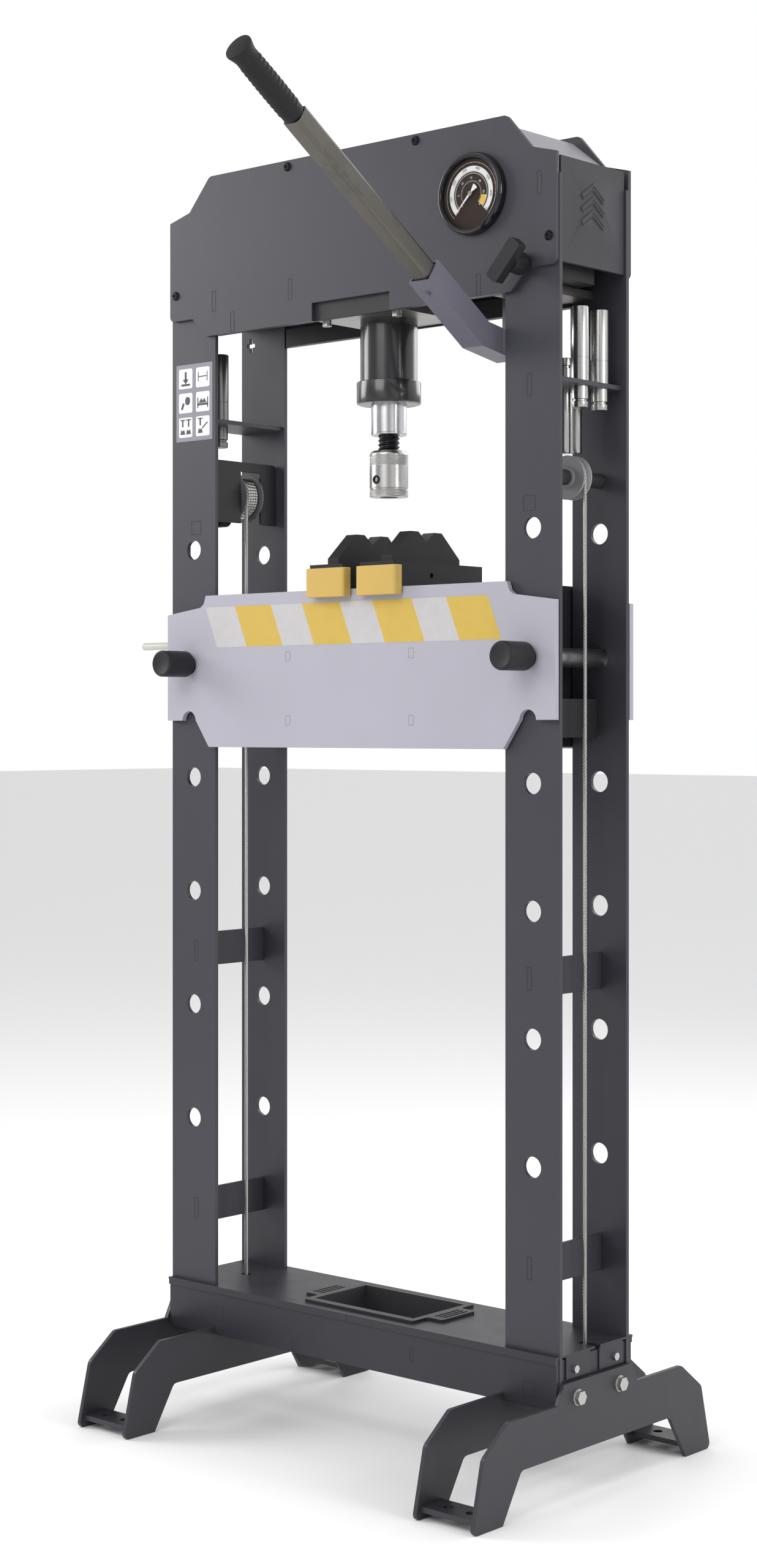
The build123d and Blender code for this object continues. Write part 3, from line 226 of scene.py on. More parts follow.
def eased(name, nodes, body, finish, width=0.0008, steps=2):
    """CAD nodes' merged copy with edges eased by a small bevel; it stands for those nodes."""
    work = bmesh.new()
    for node in nodes:
        work.from_mesh(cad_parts[node].data)
    bmesh.ops.remove_doubles(work, verts=work.verts, dist=weld_gap)
    bmesh.ops.dissolve_limit(work, angle_limit=flat_angle, verts=work.verts, edges=work.edges)
    mesh = bpy.data.meshes.new(name)
    work.to_mesh(mesh)
    work.free()
    mesh.materials.clear()
    mesh.materials.append(finish)
    mesh.polygons.foreach_set("material_index", np.zeros(len(mesh.polygons), dtype=np.int32))
    smooth(mesh)
    piece = bpy.data.objects.new(name, mesh)
    bpy.context.scene.collection.objects.link(piece)
    if width:
        ease = piece.modifiers.new("eased_edges", "BEVEL")
        ease.width = width
        ease.segments = steps
        ease.limit_method = "ANGLE"
        ease.angle_limit = bevel_angle
        ease.harden_normals = True
        ease.use_clamp_overlap = True
    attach(piece, body)
    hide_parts(*nodes)
    return piece


frame_coat = coating("dark_grey_powder_coat", rgb(54, 54, 62), 0.42)
eased("column_plates_front", ["columns_front"], "frame", frame_coat)
eased("column_plates_rear", ["columns_rear"], "frame", frame_coat)
eased("column_brace_plates", ["column_braces"], "frame", frame_coat)

# Weld tabs: where one plate plugs into another, a thin seam shows round the tab's end.
# The seams are filled and coated over, so they are only a fine darker line.
seam_coat = coating("coated_seam_line", rgb(36, 36, 40), 0.6)


seam_lift = 0.00012


def seam_lines(name, body, finish, spots, y, wide=0.0011):
    """Rectangular rings, one per tab (x, z, width, height), just proud of a plate's face at y."""
    spots = np.array(spots, dtype=float)
    corner = np.array([(-1, -1), (1, -1), (1, 1), (-1, 1)], dtype=float)
    half = spots[:, None, 2:4] / 2
    outer = spots[:, None, :2] + corner * half
    inner = spots[:, None, :2] + corner * (half - wide)
    flat = np.concatenate([outer, inner], axis=1)
    deep = np.full(flat.shape[:2], y + np.sign(y) * seam_lift)
    points = np.stack([flat[..., 0], deep, flat[..., 1]], axis=-1).reshape(-1, 3)
    k = np.arange(4)
    ring = np.stack([k, (k + 1) % 4, 4 + (k + 1) % 4, 4 + k], axis=1)
    if y > 0:
        ring = ring[:, ::-1]
    faces = (np.arange(len(spots))[:, None, None] * 8 + ring).reshape(-1, 4)
    mesh = bpy.data.meshes.new(name)
    mesh.from_pydata(points.tolist(), [], faces.tolist())
    mesh.materials.append(finish)
    piece = bpy.data.objects.new(name, mesh)
    bpy.context.scene.collection.objects.link(piece)
    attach(piece, body)
    return piece


column_face = 0.076
column_tabs = []
for tab_x in (-0.304, 0.304):
    for tab_z in (0.292, 0.666, 1.433):
        column_tabs.append((tab_x, tab_z, 0.008, 0.03))
    column_tabs.append((tab_x, 1.28, 0.02, 0.02))
seam_lines("column_tab_seams_front", "frame", seam_coat, column_tabs, -column_face)
seam_lines("column_tab_seams_rear", "frame", seam_coat, column_tabs, column_face)

# Column sticker: a printed vinyl label on the front left column, two by three pale squares.
# Each square holds a plain working sign: load, span, vee blocks, ram and lever.
label_front = -column_face - 0.0002
label_grey = coating("label_grey_vinyl", rgb(132, 132, 142), 0.45)
label_pale = coating("label_pale_print", rgb(222, 219, 221), 0.45)
label_ink = coating("label_dark_print", rgb(70, 70, 76), 0.5)


def flat_shapes(name, body, finish, shapes, y):
    """Flat polygons of (x, z) points in a plane of constant y, facing the front."""
    points = [(x, y, z) for shape in shapes for x, z in shape]
    ends = np.cumsum([0] + [len(shape) for shape in shapes])
    faces = [list(range(a, b)) for a, b in zip(ends[:-1], ends[1:])]
    mesh = bpy.data.meshes.new(name)
    mesh.from_pydata(points, [], faces)
    mesh.materials.append(finish)
    work = bmesh.new()
    work.from_mesh(mesh)
    work.normal_update()
    wrong = [face for face in work.faces if face.normal.y > 0]
    bmesh.ops.reverse_faces(work, faces=wrong)
    work.to_mesh(mesh)
    work.free()
    piece = bpy.data.objects.new(name, mesh)
    bpy.context.scene.collection.objects.link(piece)
    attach(piece, body)
    return piece


def rounded(x, z, wide, tall, radius=0.0):
    """Outline of a rectangle about (x, z) with round corners."""
    turns = np.radians(np.arange(0, 360, 15))
    quarter = np.arange(24) // 6
    cx = np.where((quarter == 0) | (quarter == 3), wide / 2 - radius, -(wide / 2 - radius))
    cz = np.where(quarter < 2, tall / 2 - radius, -(tall / 2 - radius))
    return list(zip(x + cx + radius * np.cos(turns), z + cz + radius * np.sin(turns)))


def bar_shape(x0, z0, x1, z1, wide):
    """Outline of a straight stroke between two points."""
    run = np.array([x1 - x0, z1 - z0])
    side = np.array([-run[1], run[0]]) / np.hypot(*run) * wide / 2
    ends = np.array([[x0, z0], [x1, z1]])
    return [tuple(p) for p in (ends[0] + side, ends[0] - side, ends[1] - side, ends[1] + side)]


print_step = 0.0001
label_x = -0.308
label_z = 1.463
flat_shapes("label_ground", "frame", label_grey, [rounded(label_x, label_z, 0.074, 0.112, 0.001)], label_front)
tiles = [(label_x + sx * 0.0175, label_z + sz * 0.0355) for sz in (1, 0, -1) for sx in (-1, 1)]
flat_shapes("label_tiles", "frame", label_pale, [rounded(x, z, 0.028, 0.029, 0.003) for x, z in tiles],
            label_front - print_step)
# Each sign's shapes are measured from the middle of its own square.
load_sign = [bar_shape(0, 0.01, 0, -0.002, 0.004), bar_shape(-0.009, -0.009, 0.009, -0.009, 0.003),
             [(-0.006, -0.001), (0, -0.008), (0.006, -0.001)]]
span_sign = [bar_shape(-0.009, -0.006, -0.009, 0.008, 0.0015), bar_shape(0.009, -0.006, 0.009, 0.008, 0.0015),
             bar_shape(-0.008, 0.001, 0.008, 0.001, 0.0015)]
lever_sign = [rounded(0.004, 0.003, 0.01, 0.012, 0.0049), bar_shape(-0.008, -0.009, -0.004, 0, 0.004)]
vee_sign = [bar_shape(-0.01, -0.004, 0.01, -0.004, 0.003),
            [(-0.008, -0.002), (-0.003, 0.005), (0, 0.001), (0.003, 0.005), (0.008, -0.002)],
            bar_shape(-0.01, -0.009, -0.01, 0.006, 0.002), bar_shape(0.01, -0.009, 0.01, 0.006, 0.002)]


def ram_sign(shift):
    """A ram's plate, its bar and the notched work beneath it, set off to one side by the shift."""
    return [bar_shape(shift - 0.005, 0.011, shift + 0.005, 0.011, 0.0015),
            bar_shape(shift, 0.011, shift, 0.001, 0.003),
            [(shift - 0.005, -0.01), (shift - 0.003, -0.003), (shift, -0.005), (shift + 0.003, -0.003),
             (shift + 0.005, -0.01)]]


twin_sign = ram_sign(-0.006) + ram_sign(0.006)
side_sign = ram_sign(-0.005) + [bar_shape(-0.001, -0.003, 0.01, 0.005, 0.002)]
signs = []
for (x, z), sign in zip(tiles, (load_sign, span_sign, lever_sign, vee_sign, twin_sign, side_sign)):
    signs += [[(x + px, z + pz) for px, pz in shape] for shape in sign]
flat_shapes("label_signs", "frame", label_ink, signs, label_front - 2 * print_step)

# Base: two side plates, end plates and two cross ribs, coated a shade darker than the columns.
# A folded sheet in two halves covers them; its end flaps are held by small bolts.
base_coat = coating("base_powder_coat", rgb(42, 42, 49), 0.4)
foot_coat = coating("foot_powder_coat", rgb(50, 50, 56), 0.4)
eased("base_box_plates", ["base_plates"], "frame", base_coat)
eased("base_cover_sheet", ["base_cover"], "frame", base_coat, 0.0012, 3)
base_face = 0.082
base_tabs = [(-0.252, 0.147, 0.02, 0.02), (0.308, 0.138, 0.02, 0.02), (-0.106, 0.124, 0.006, 0.014),
             (0.11, 0.15, 0.007, 0.02)]
seam_lines("base_tab_seams", "frame", seam_coat, base_tabs, -base_face)


def metal(name, tone, rough, brush=(1, 1, 1), grain=0.00003, streak=0.25, stain=0.1):
    """Bare or plated steel: streaks along one direction, cloudy stains and fine scratches."""
    finish, shader, at = start_finish(name, Metallic=1.0)
    lines = at.stretch(*brush).noise(900.0, 4.0, 0.6)
    cloud = at.noise(22.0, 4.0, 0.6)
    fine = at.noise(2600.0, 2.0)
    dark = tuple(c * (1 - streak) for c in tone[:3]) + (1,)
    share = lines * 0.6 + cloud * 0.4
    colour = share.mix(dark, tone)
    smear = (cloud > 0.56) * stain
    colour = smear.mix(colour, tuple(c * 0.55 for c in tone[:3]) + (1,))
    gloss = lines * 0.14 + cloud * 0.12 + fine * 0.04 + (rough - 0.14)
    end_finish(shader, colour, gloss, lines * 0.7 + fine * 0.3, grain)
    return finish


zinc = metal("bright_zinc_plate", rgb(196, 196, 194), 0.34, (1, 1, 1), 0.00002, 0.2, 0.05)
eased("base_hex_bolts", ["base_bolts"], "frame", zinc, 0.0005)

# Feet: pairs of 6 mm splayed plates bolted to the base's ends, joined by anchor plates.
# The anchor plates lie a little off the floor and have two bolt holes each.
eased("foot_side_plates", ["foot_plates"], "frame", foot_coat)

# Head: a front and a rear plate over the columns' tops, with guide rails and thrust bars between.
# Button-head screws hold the roof sheet, and the roof and the end cover are folded from thin sheet.
eased("head_plate_front", ["head_front_plate"], "frame", frame_coat, 0.001)
eased("head_plate_rear", ["head_rear_plate"], "frame", frame_coat, 0.001)
rail_coat = coating("black_rail_paint", rgb(30, 30, 33), 0.5)
eased("head_rails", ["head_guide_rails"], "frame", rail_coat)
roof_coat = coating("light_grey_roof_coat", rgb(150, 150, 156), 0.36)
eased("head_roof_sheet", ["head_covers"], "frame", roof_coat, 0.0005)
black_oxide = metal("black_oxide_steel", rgb(44, 44, 46), 0.38, (1, 1, 1), 0.00002, 0.2, 0.05)
eased("head_button_screws", ["head_screws"], "frame", black_oxide, 0.0004)
head_tabs = [(sx * tab_x, tab_z, 0.008, 0.03) for sx in (-1, 1) for tab_x, tab_z in
             ((0.112, 1.604), (0.262, 1.604), (0.225, 1.57), (0.325, 1.69))]
head_face = 0.082
seam_lines("head_tab_seams_front", "frame", seam_coat, head_tabs[:3] + head_tabs[4:5] + head_tabs[6:], -head_face)
seam_lines("head_tab_seams_rear", "frame", seam_coat, head_tabs, head_face)

# Side cover: a moulded black panel that slides up out of the head's right end.
# Three raised chevrons show which way it lifts.
panel_black = coating("grained_black_plastic", rgb(48, 47, 51), 0.5, 0.00009, 0.02)
eased("side_panel", ["side_cover"], "side_cover", panel_black, 0.0006)

# Carriage: a painted block that slides along the head's rails, with the cylinder's flange under it.
# The flange plate is bare steel, held by four socket-cap bolts.
slide_coat = coating("black_carriage_paint", rgb(34, 34, 37), 0.45)
eased("carriage_block", ["carriage"], "carriage", slide_coat)
bare_flange = metal("bare_flange_steel", rgb(176, 172, 168), 0.32, (1, 8, 8), 0.00003)
eased("cylinder_flange", ["flange_plate"], "carriage", bare_flange)
eased("flange_socket_bolts", ["carriage_bolts"], "carriage", zinc, 0.0004)


pole_radius = 1e-9
same_point = 1e-7
no_length = 1e-8


def lathed(name, nodes, body, finish, centre, line, profile, steps, shape=None):
    """A turned piece: each (radius, height) of the profile is carried round the line through centre.

    A point is centre + height * line + radius * (cos turn * side + sin turn * front), and shape
    may change the radius by turn and height, as for flutes, threads and knurls.
    """
    profile = np.array(profile, dtype=float)
    line = np.array(line, dtype=float) / np.linalg.norm(line)
    side = np.cross(line, (0, 0, 1.0) if abs(line[2]) < 0.9 else (0, 1.0, 0))
    side /= np.linalg.norm(side)
    front = np.cross(line, side)
    turn = np.linspace(0, 2 * pi, steps, endpoint=False)
    radius = profile[:, :1] * np.ones(steps)
    height = profile[:, 1:2] * np.ones(steps)
    if shape is not None:
        radius = np.where(radius > pole_radius, shape(radius, height, turn[None, :]), radius)
    points = (np.array(centre) + height[..., None] * line
              + radius[..., None] * (np.cos(turn)[:, None] * side + np.sin(turn)[:, None] * front))
    rings = len(profile)
    i, j = np.meshgrid(np.arange(rings), np.arange(steps), indexing="ij")
    i2 = (i + 1) % rings
    j2 = (j + 1) % steps
    quads = np.stack([i * steps + j, i * steps + j2, i2 * steps + j2, i2 * steps + j], axis=-1)
    mesh = bpy.data.meshes.new(name)
    mesh.vertices.add(rings * steps)
    mesh.vertices.foreach_set("co", points.reshape(-1))
    loops = quads.reshape(-1)
    mesh.loops.add(len(loops))
    mesh.loops.foreach_set("vertex_index", loops.astype(np.int32))
    mesh.polygons.add(len(loops) // 4)
    mesh.polygons.foreach_set("loop_start", np.arange(0, len(loops), 4, dtype=np.int32))
    mesh.update(calc_edges=True)
    work = bmesh.new()
    work.from_mesh(mesh)
    bmesh.ops.remove_doubles(work, verts=work.verts, dist=same_point)
    bmesh.ops.dissolve_degenerate(work, dist=no_length, edges=work.edges)
    bmesh.ops.recalc_face_normals(work, faces=work.faces)
    work.to_mesh(mesh)
    work.free()
    smooth(mesh)
    mesh.materials.append(finish)
    piece = bpy.data.objects.new(name, mesh)
    bpy.context.scene.collection.objects.link(piece)
    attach(piece, body)
    if nodes:
        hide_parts(*nodes)
    return piece


def finer(profile, step):
    """The same profile with points added so that none are further apart than the step."""
    profile = np.array(profile, dtype=float)
    after = np.roll(profile, -1, axis=0)
    counts = np.maximum(1, np.ceil(np.hypot(*(after - profile).T) / step).astype(int))
    return np.concatenate([a + (b - a) * np.linspace(0, 1, n, endpoint=False)[:, None]
                           for a, b, n in zip(profile, after, counts)])


# Cylinder: a turned barrel with a screwed gland collar, painted gloss black.
# The ram is hard-chromed bar with a fine lip at its end; the extension screw is black, coarse-threaded.
barrel_black = coating("gloss_black_cylinder", rgb(33, 33, 36), 0.26, 0.00003, 0.02, 0.6)
lathed("cylinder_tube", ["cylinder_barrel"], "carriage", barrel_black, (0, 0, 0), (0, 0, 1), [
    (0.02505, 1.471), (0.0395, 1.471), (0.04, 1.4715), (0.04, 1.698), (0.038, 1.7), (0, 1.7), (0, 1.686),
    (0.02505, 1.686)], 128)
lathed("cylinder_collar", ["gland_collar"], "carriage", barrel_black, (0, 0, 0), (0, 0, 1), [
    (0.02505, 1.44), (0.0425, 1.44), (0.0438, 1.4404), (0.0447, 1.4412), (0.045, 1.4425), (0.045, 1.4695),
    (0.0446, 1.4705), (0.0438, 1.471), (0.02505, 1.471)], 128)
chrome = metal("hard_chrome", rgb(206, 206, 210), 0.22, (1, 1, 14), 0.000008, 0.08, 0.03)
lathed("ram_bar", ["ram"], "ram", chrome, (0, 0, 0), (0, 0, 1), [
    (0.01505, 1.397), (0.0242, 1.397), (0.0249, 1.3974), (0.025, 1.3982), (0.025, 1.4), (0.0247, 1.4004),
    (0.0247, 1.6045), (0.0243, 1.605), (0, 1.605), (0, 1.46), (0.01505, 1.46)], 128)
screw_black = metal("blackened_screw_steel", rgb(52, 52, 54), 0.36, (1, 1, 6), 0.00002, 0.2, 0.05)


screw_lead = 0.006
thread_depth = 0.0019
run_out = 0.002
thread_low, thread_high = 1.3545, 1.4505


def screw_thread(radius, height, turn):
    """Rounded thread: the radius dips once a lead along the height, and the dip climbs with the turn."""
    phase = height / screw_lead - turn / (2 * pi)
    wave = 0.5 + 0.5 * np.cos(2 * pi * phase)
    cut = thread_depth * np.clip(1.25 * wave, 0, 1)
    fade = np.clip((height - thread_low) / run_out, 0, 1) * np.clip((thread_high - height) / run_out, 0, 1)
    return radius - cut * fade * (radius > 0.0148)


lathed("extension_screw_thread", ["extension_screw"], "extension_screw", screw_black, (0, 0, 0), (0, 0, 1),
       finer([(0, 1.353), (0.014, 1.353), (0.015, 1.354), (0.015, 1.451), (0.014, 1.452), (0, 1.452)], 0.0006),
       96, screw_thread)

# Adaptor: a bright turned steel cup on the screw, knurled in two bands so it can be spun by hand.
# A flat milled on its side carries the set screw that grips an arbor's neck.
bright = metal("bright_turned_steel", rgb(190, 189, 188), 0.26, (1, 1, 16), 0.00001, 0.12, 0.04)


cup_radius = 0.027
knurl_ridges = 80
knurl_depth = 0.0008
flat_depth = 0.0245
flat_faces = 3 * pi / 2


def knurl(radius, height, turn):
    """Diamond knurl on the two bands and a flat on the front: crossing helical ridges set the radius."""
    bands = ((height > 1.3545) & (height < 1.3685)) | ((height > 1.3118) & (height < 1.3206))
    around = turn * knurl_ridges / (2 * pi)
    along = height * knurl_ridges / (2 * pi * cup_radius)
    ridge = np.abs(np.sin(pi * (around + along))) * np.abs(np.sin(pi * (around - along)))
    out = radius - np.where(bands & (radius > 0.0262), knurl_depth * (1 - ridge), 0)
    facing = np.cos(turn - flat_faces)
    flat = (height > 1.3239) & (height < 1.3541) & (radius > 0.02) & (facing > 0.5)
    return np.where(flat & (radius * facing > flat_depth), flat_depth / np.maximum(facing, 0.5), out)


low_band = [(cup_radius, z) for z in np.linspace(1.312, 1.3205, 20)]
high_band = [(cup_radius, z) for z in np.linspace(1.3545, 1.3685, 32)]
lathed("ram_adaptor_cup", ["ram_adaptor"], "ram_adaptor", bright, (0, 0, 0), (0, 0, 1), [
    (0.0127, 1.311), (0.026, 1.311), *low_band, (0.0258, 1.3212), (0.0258, 1.3224), (cup_radius, 1.3232),
    (cup_radius, 1.3237), (cup_radius, 1.3241), (cup_radius, 1.3539), (cup_radius, 1.3543), *high_band,
    (cup_radius, 1.37), (0.0262, 1.3718), (0.023, 1.375), (0.01505, 1.375), (0.01505, 1.353), (0.004, 1.353),
    (0.004, 1.347), (0.0127, 1.347)], 480, knurl)
lathed("adaptor_set_screw", [], "ram_adaptor", screw_black, (0, 0, 1.334), (0, -1, 0), [
    (0, 0.022), (0.0078, 0.022), (0.0078, 0.0252), (0.0062, 0.0254), (0.0062, 0.0275), (0.0056, 0.0283),
    (0.0034, 0.0283), (0.0031, 0.0277), (0.0031, 0.025), (0, 0.025)], 48)

# Pressure gauge: a bought-in dial in a deep gloss-black bezel, set through the head's front plate.
# Dark brown dial with a white scale band, an inner scale and a yellow overload sector.
gauge = (0.217, 0, 1.69)
bezel_black = coating("gloss_black_bezel", rgb(20, 20, 24), 0.2, 0.00001, 0.01, 0.3)
lathed("gauge_bezel", ["gauge_case"], "frame", bezel_black, gauge, (0, -1, 0), [
    (0.0016, 0.064), (0.0465, 0.064), (0.0465, 0.082), (0.0545, 0.082), (0.0545, 0.0855), (0.0538, 0.0895),
    (0.0524, 0.0925), (0.0505, 0.0945), (0.0488, 0.095), (0.0478, 0.0948), (0.0472, 0.0942), (0.0461, 0.0905),
    (0.046, 0.086), (0.0016, 0.086)], 160)
dial_brown = coating("dark_brown_dial", rgb(54, 42, 36), 0.6, 0.000005, 0.0, 0.0, 0.15)
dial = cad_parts["gauge_dial"]
dial.data.materials.clear()
dial.data.materials.append(dial_brown)
print_white = coating("white_dial_print", rgb(235, 235, 235), 0.5, 0.000002, 0.0)
print_yellow = coating("yellow_dial_print", rgb(226, 190, 70), 0.5, 0.000002, 0.0)
print_dark = coating("dark_dial_print", rgb(45, 40, 40), 0.5, 0.000002, 0.0)
dial_face = -0.0871


def sector(inner, outer, start, end, steps):
    """Part of a ring about the dial's centre, angles clockwise from straight up, in degrees."""
    turn = np.radians(np.linspace(start, end, steps))
    ring = [(gauge[0] + inner * np.sin(t), gauge[2] + inner * np.cos(t)) for t in turn]
    back = [(gauge[0] + outer * np.sin(t), gauge[2] + outer * np.cos(t)) for t in turn[::-1]]
    return ring + back


def tick(inner, outer, angle, wide):
    """A stroke across the scale at an angle clockwise from straight up."""
    t = radians(angle)
    return bar_shape(gauge[0] + inner * sin(t), gauge[2] + inner * cos(t), gauge[0] + outer * sin(t),
                     gauge[2] + outer * cos(t), wide)


first, last = -135.0, 135.0
sweep = last - first
fine_line = 0.0003
whites = [sector(0.0288, 0.0362, first, last, 96), sector(0.0262, 0.0266, first, last, 96),
          sector(0.0408, 0.0411, first, last, 96), sector(0.0160, 0.0162, first, last, 60)]
for inner, outer, parts in ((0.0262, 0.0278, 60), (0.016, 0.0178, 30), (0.0396, 0.0411, 14)):
    whites += [tick(inner, outer, first + sweep / parts * k, fine_line) for k in range(parts + 1)]
flat_shapes("dial_white_print", "frame", print_white, whites, dial_face)
overload = sector(0.0175, 0.0262, 100, 134, 24)
flat_shapes("dial_yellow_sector", "frame", print_yellow, [overload], dial_face - print_step / 2)
darks = [tick(0.0288, 0.0302, first + sweep / 70 * k, 0.00028 if k % 10 else 0.0005) for k in range(71)]
flat_shapes("dial_dark_ticks", "frame", print_dark, darks, dial_face - print_step)


def dial_numbers(name, values, radius, tall, finish, lift):
    """Numbers round the dial, each standing on its radius, made meshes and put in place."""
    for k, value in enumerate(values):
        words = bpy.data.curves.new(name, "FONT")
        words.body = str(value)
        words.size = tall
        words.align_x = "CENTER"
        words.align_y = "CENTER"
        words.resolution_u = 3
        holder = bpy.data.objects.new(name, words)
        bpy.context.scene.collection.objects.link(holder)
        bpy.context.view_layer.update()
        mesh = bpy.data.meshes.new_from_object(holder.evaluated_get(bpy.context.evaluated_depsgraph_get()))
        bpy.data.objects.remove(holder)
        angle = radians(first + sweep / (len(values) - 1) * k)
        across, up = radius * sin(angle), radius * cos(angle)
        spot = Matrix.Translation((gauge[0] + across, dial_face - lift, gauge[2] + up))
        mesh.transform(spot @ Matrix.Rotation(angle, 4, "Y") @ Matrix.Rotation(radians(90), 4, "X"))
        mesh.materials.clear()
        mesh.materials.append(finish)
        number = bpy.data.objects.new(f"{name}_{k}", mesh)
        bpy.context.scene.collection.objects.link(number)
        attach(number, "frame")


dial_numbers("dial_outer_number", range(0, 800, 100), 0.0333, 0.0052, print_dark, 0.00015)
dial_numbers("dial_inner_number", range(0, 35, 5), 0.0208, 0.0042, print_white, 0.00012)

# Gauge pointer: a white pressed hand on a brass-coloured hub, resting at zero.
# Its tail widens to balance it.
pointer_white = coating("white_pointer", rgb(238, 238, 238), 0.45, 0.000003, 0.0)
zero = radians(225)
ahead = np.array([sin(zero), cos(zero)])
across = np.array([cos(zero), -sin(zero)])
outline = np.array([(-0.0125, -0.0042), (-0.0135, 0.0), (-0.0125, 0.0042), (-0.004, 0.0012), (0.002, 0.0015),
                    (0.0345, 0.0002), (0.0345, -0.0002), (0.002, -0.0015), (-0.004, -0.0012)])
flat_hand = outline[:, :1] * ahead + outline[:, 1:] * across + np.array([gauge[0], gauge[2]])
hand_mesh = bpy.data.meshes.new("gauge_pointer")
count = len(flat_hand)
hand_back, hand_front = -0.0895, -0.0901
hand_points = [(x, y, z) for y in (hand_back, hand_front) for x, z in flat_hand]
loop = list(range(count))
hand_faces = [loop, [count + k for k in reversed(loop)]]
hand_faces += [(k, count + k, count + (k + 1) % count, (k + 1) % count) for k in loop]
hand_mesh.from_pydata(hand_points, [], hand_faces)
work = bmesh.new()
work.from_mesh(hand_mesh)
bmesh.ops.recalc_face_normals(work, faces=work.faces)
work.to_mesh(hand_mesh)
work.free()
hand_mesh.materials.append(pointer_white)
pointer = bpy.data.objects.new("gauge_pointer", hand_mesh)
bpy.context.scene.collection.objects.link(pointer)
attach(pointer, "gauge_needle")
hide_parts("gauge_needle")
pointer_hub = metal("pointer_hub_steel", rgb(190, 188, 180), 0.3)
lathed("gauge_pointer_hub", [], "gauge_needle", pointer_hub, gauge, (0, -1, 0), [
    (0, 0.0885), (0.0034, 0.0885), (0.0034, 0.0903), (0.0028, 0.0908), (0.0018, 0.0908), (0.0014, 0.0905),
    (0, 0.0905)], 48)
clear = start_finish("gauge_window", Base_Color=(0.02, 0.02, 0.02, 1), Roughness=0.04, Alpha=0.06,
                     Specular_IOR_Level=0.3)[0]
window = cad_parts["gauge_glass"]
window.data.materials.clear()
window.data.materials.append(clear)

# Hand pump: a block under the head carries the lever's pivot ears; the oil tank sits above it.
# The tank is folded and welded sheet with a filler cap.
pump_steel = metal("pump_block_steel", rgb(120, 118, 114), 0.4)
eased("pump_body", ["pump_block"], "frame", pump_steel)
lathed("pump_plunger_bar", ["pump_plunger"], "pump_plunger", chrome, (0.24, 0.018, 0), (0, 0, 1), [
    (0, 1.4935), (0.006, 1.4935), (0.0078, 1.4945), (0.008, 1.4955), (0.008, 1.53), (0, 1.53)], 48)
eased("oil_tank", ["oil_reservoir"], "frame", rail_coat)

# Lever: a bent socket of square tube, painted grey, holds a bar of raw drawn steel.
# A moulded rubber grip is pushed over the bar's end.
socket_grey = coating("lever_socket_paint", rgb(98, 97, 109), 0.38, 0.00007, 0.03)
eased("lever_tube_socket", ["lever_socket"], "lever", socket_grey, 0.0022, 3)
raw_steel = metal("raw_drawn_steel", rgb(112, 109, 104), 0.4, (1, 1, 1), 0.00004, 0.35, 0.3)
eased("lever_bar", ["lever_rod"], "lever", raw_steel, 0.0006)
lever_pivot = np.array([0.24, -0.008, 1.484])
leg_rise = radians(9.3)
leg_length = 0.0993
arm_rise = radians(32.8)
grip_along = 0.412
knee = lever_pivot + leg_length * np.array([0, -cos(leg_rise), sin(leg_rise)])
reach = np.array([0, -cos(arm_rise), sin(arm_rise)])
grip_start = knee + grip_along * reach
grip_black = coating("moulded_black_rubber", rgb(30, 30, 32), 0.62, 0.00012, 0.02, 0.0, 0.25)
grip_profile = [(0.01, 0.0), (0.0135, 0.0), (0.0148, 0.001), (0.0152, 0.004), (0.0152, 0.01)]
first_rib, rib_pitch, rib_count = 0.012, 0.0075, 11
for k in range(rib_count):
    d = first_rib + rib_pitch * k
    grip_profile += [(0.0154, d), (0.0159, d + 0.0008), (0.016, d + 0.002), (0.0159, d + 0.0032),
                     (0.0154, d + 0.004)]
grip_profile += [(0.0155, 0.1), (0.0168, 0.106), (0.0187, 0.112), (0.019, 0.1145), (0.0183, 0.1162),
                 (0.0165, 0.117), (0.0, 0.117), (0.0, 0.1), (0.01, 0.1)]


def finger_shape(radius, height, turn):
    """Grip section: a little deeper than wide, with a gentle swell at mid length."""
    most = 0.0006
    swell = most * np.sin(np.clip(height / 0.1, 0, 1) * pi)
    oval = 1 - 0.05 * np.cos(turn) ** 2
    return np.where(radius > 0.0101, (radius - most + swell) * oval, radius)


lathed("lever_hand_grip", ["lever_grip"], "lever", grip_black, grip_start, reach, grip_profile, 96, finger_shape)

# Release valve knob: a moulded black wing knob on a spindle through the head's front plate.
# Turning it lets the ram go back up.
knob_black = coating("moulded_black_knob", rgb(30, 30, 33), 0.48, 0.00008, 0.02, 0.0, 0.3)
eased("release_wing_knob", ["release_knob"], "release_knob", knob_black, 0.0022, 3)

# Table: two 8 mm plates joined by spacers and end plates, coated light grey.
# The end plates and cable brackets are black; a striped vinyl band is stuck along the front.
table_coat = coating("light_grey_table_coat", rgb(166, 165, 176), 0.4, 0.00006, 0.02)
eased("table_plate_front", ["table_front_plate"], "table", table_coat, 0.001)
eased("table_plate_rear", ["table_rear_plate"], "table", table_coat, 0.001)
eased("table_spacer_plates", ["table_spacers"], "table", table_coat)
eased("table_end_brackets", ["table_end_plates"], "table", rail_coat)
eased("table_cable_clamps", ["cable_clamps"], "table", zinc, 0.0006)
table_seam = coating("table_seam_line", rgb(140, 140, 150), 0.5)
table_tabs = [(sx * 0.113, z, 0.009, 0.014) for sx in (-1, 1) for z in (1.0, 1.09)]
table_face = 0.086
seam_lines("table_tab_seams_front", "table", table_seam, table_tabs, -table_face, 0.0009)
seam_lines("table_tab_seams_rear", "table", table_seam, table_tabs, table_face, 0.0009)
band_top, band_low = 1.163, 1.105
band_lean = 0.0235
stripe_pitch = 0.1297
stripe_vinyl, stripe_shader, at = start_finish("hazard_stripe_vinyl")
lean = at.axis(0) + (at.axis(2) - band_top) * (band_lean / (band_top - band_low))
step = at.math("FRACT", (lean + 0.216) / stripe_pitch)
yellow = step < 0.54
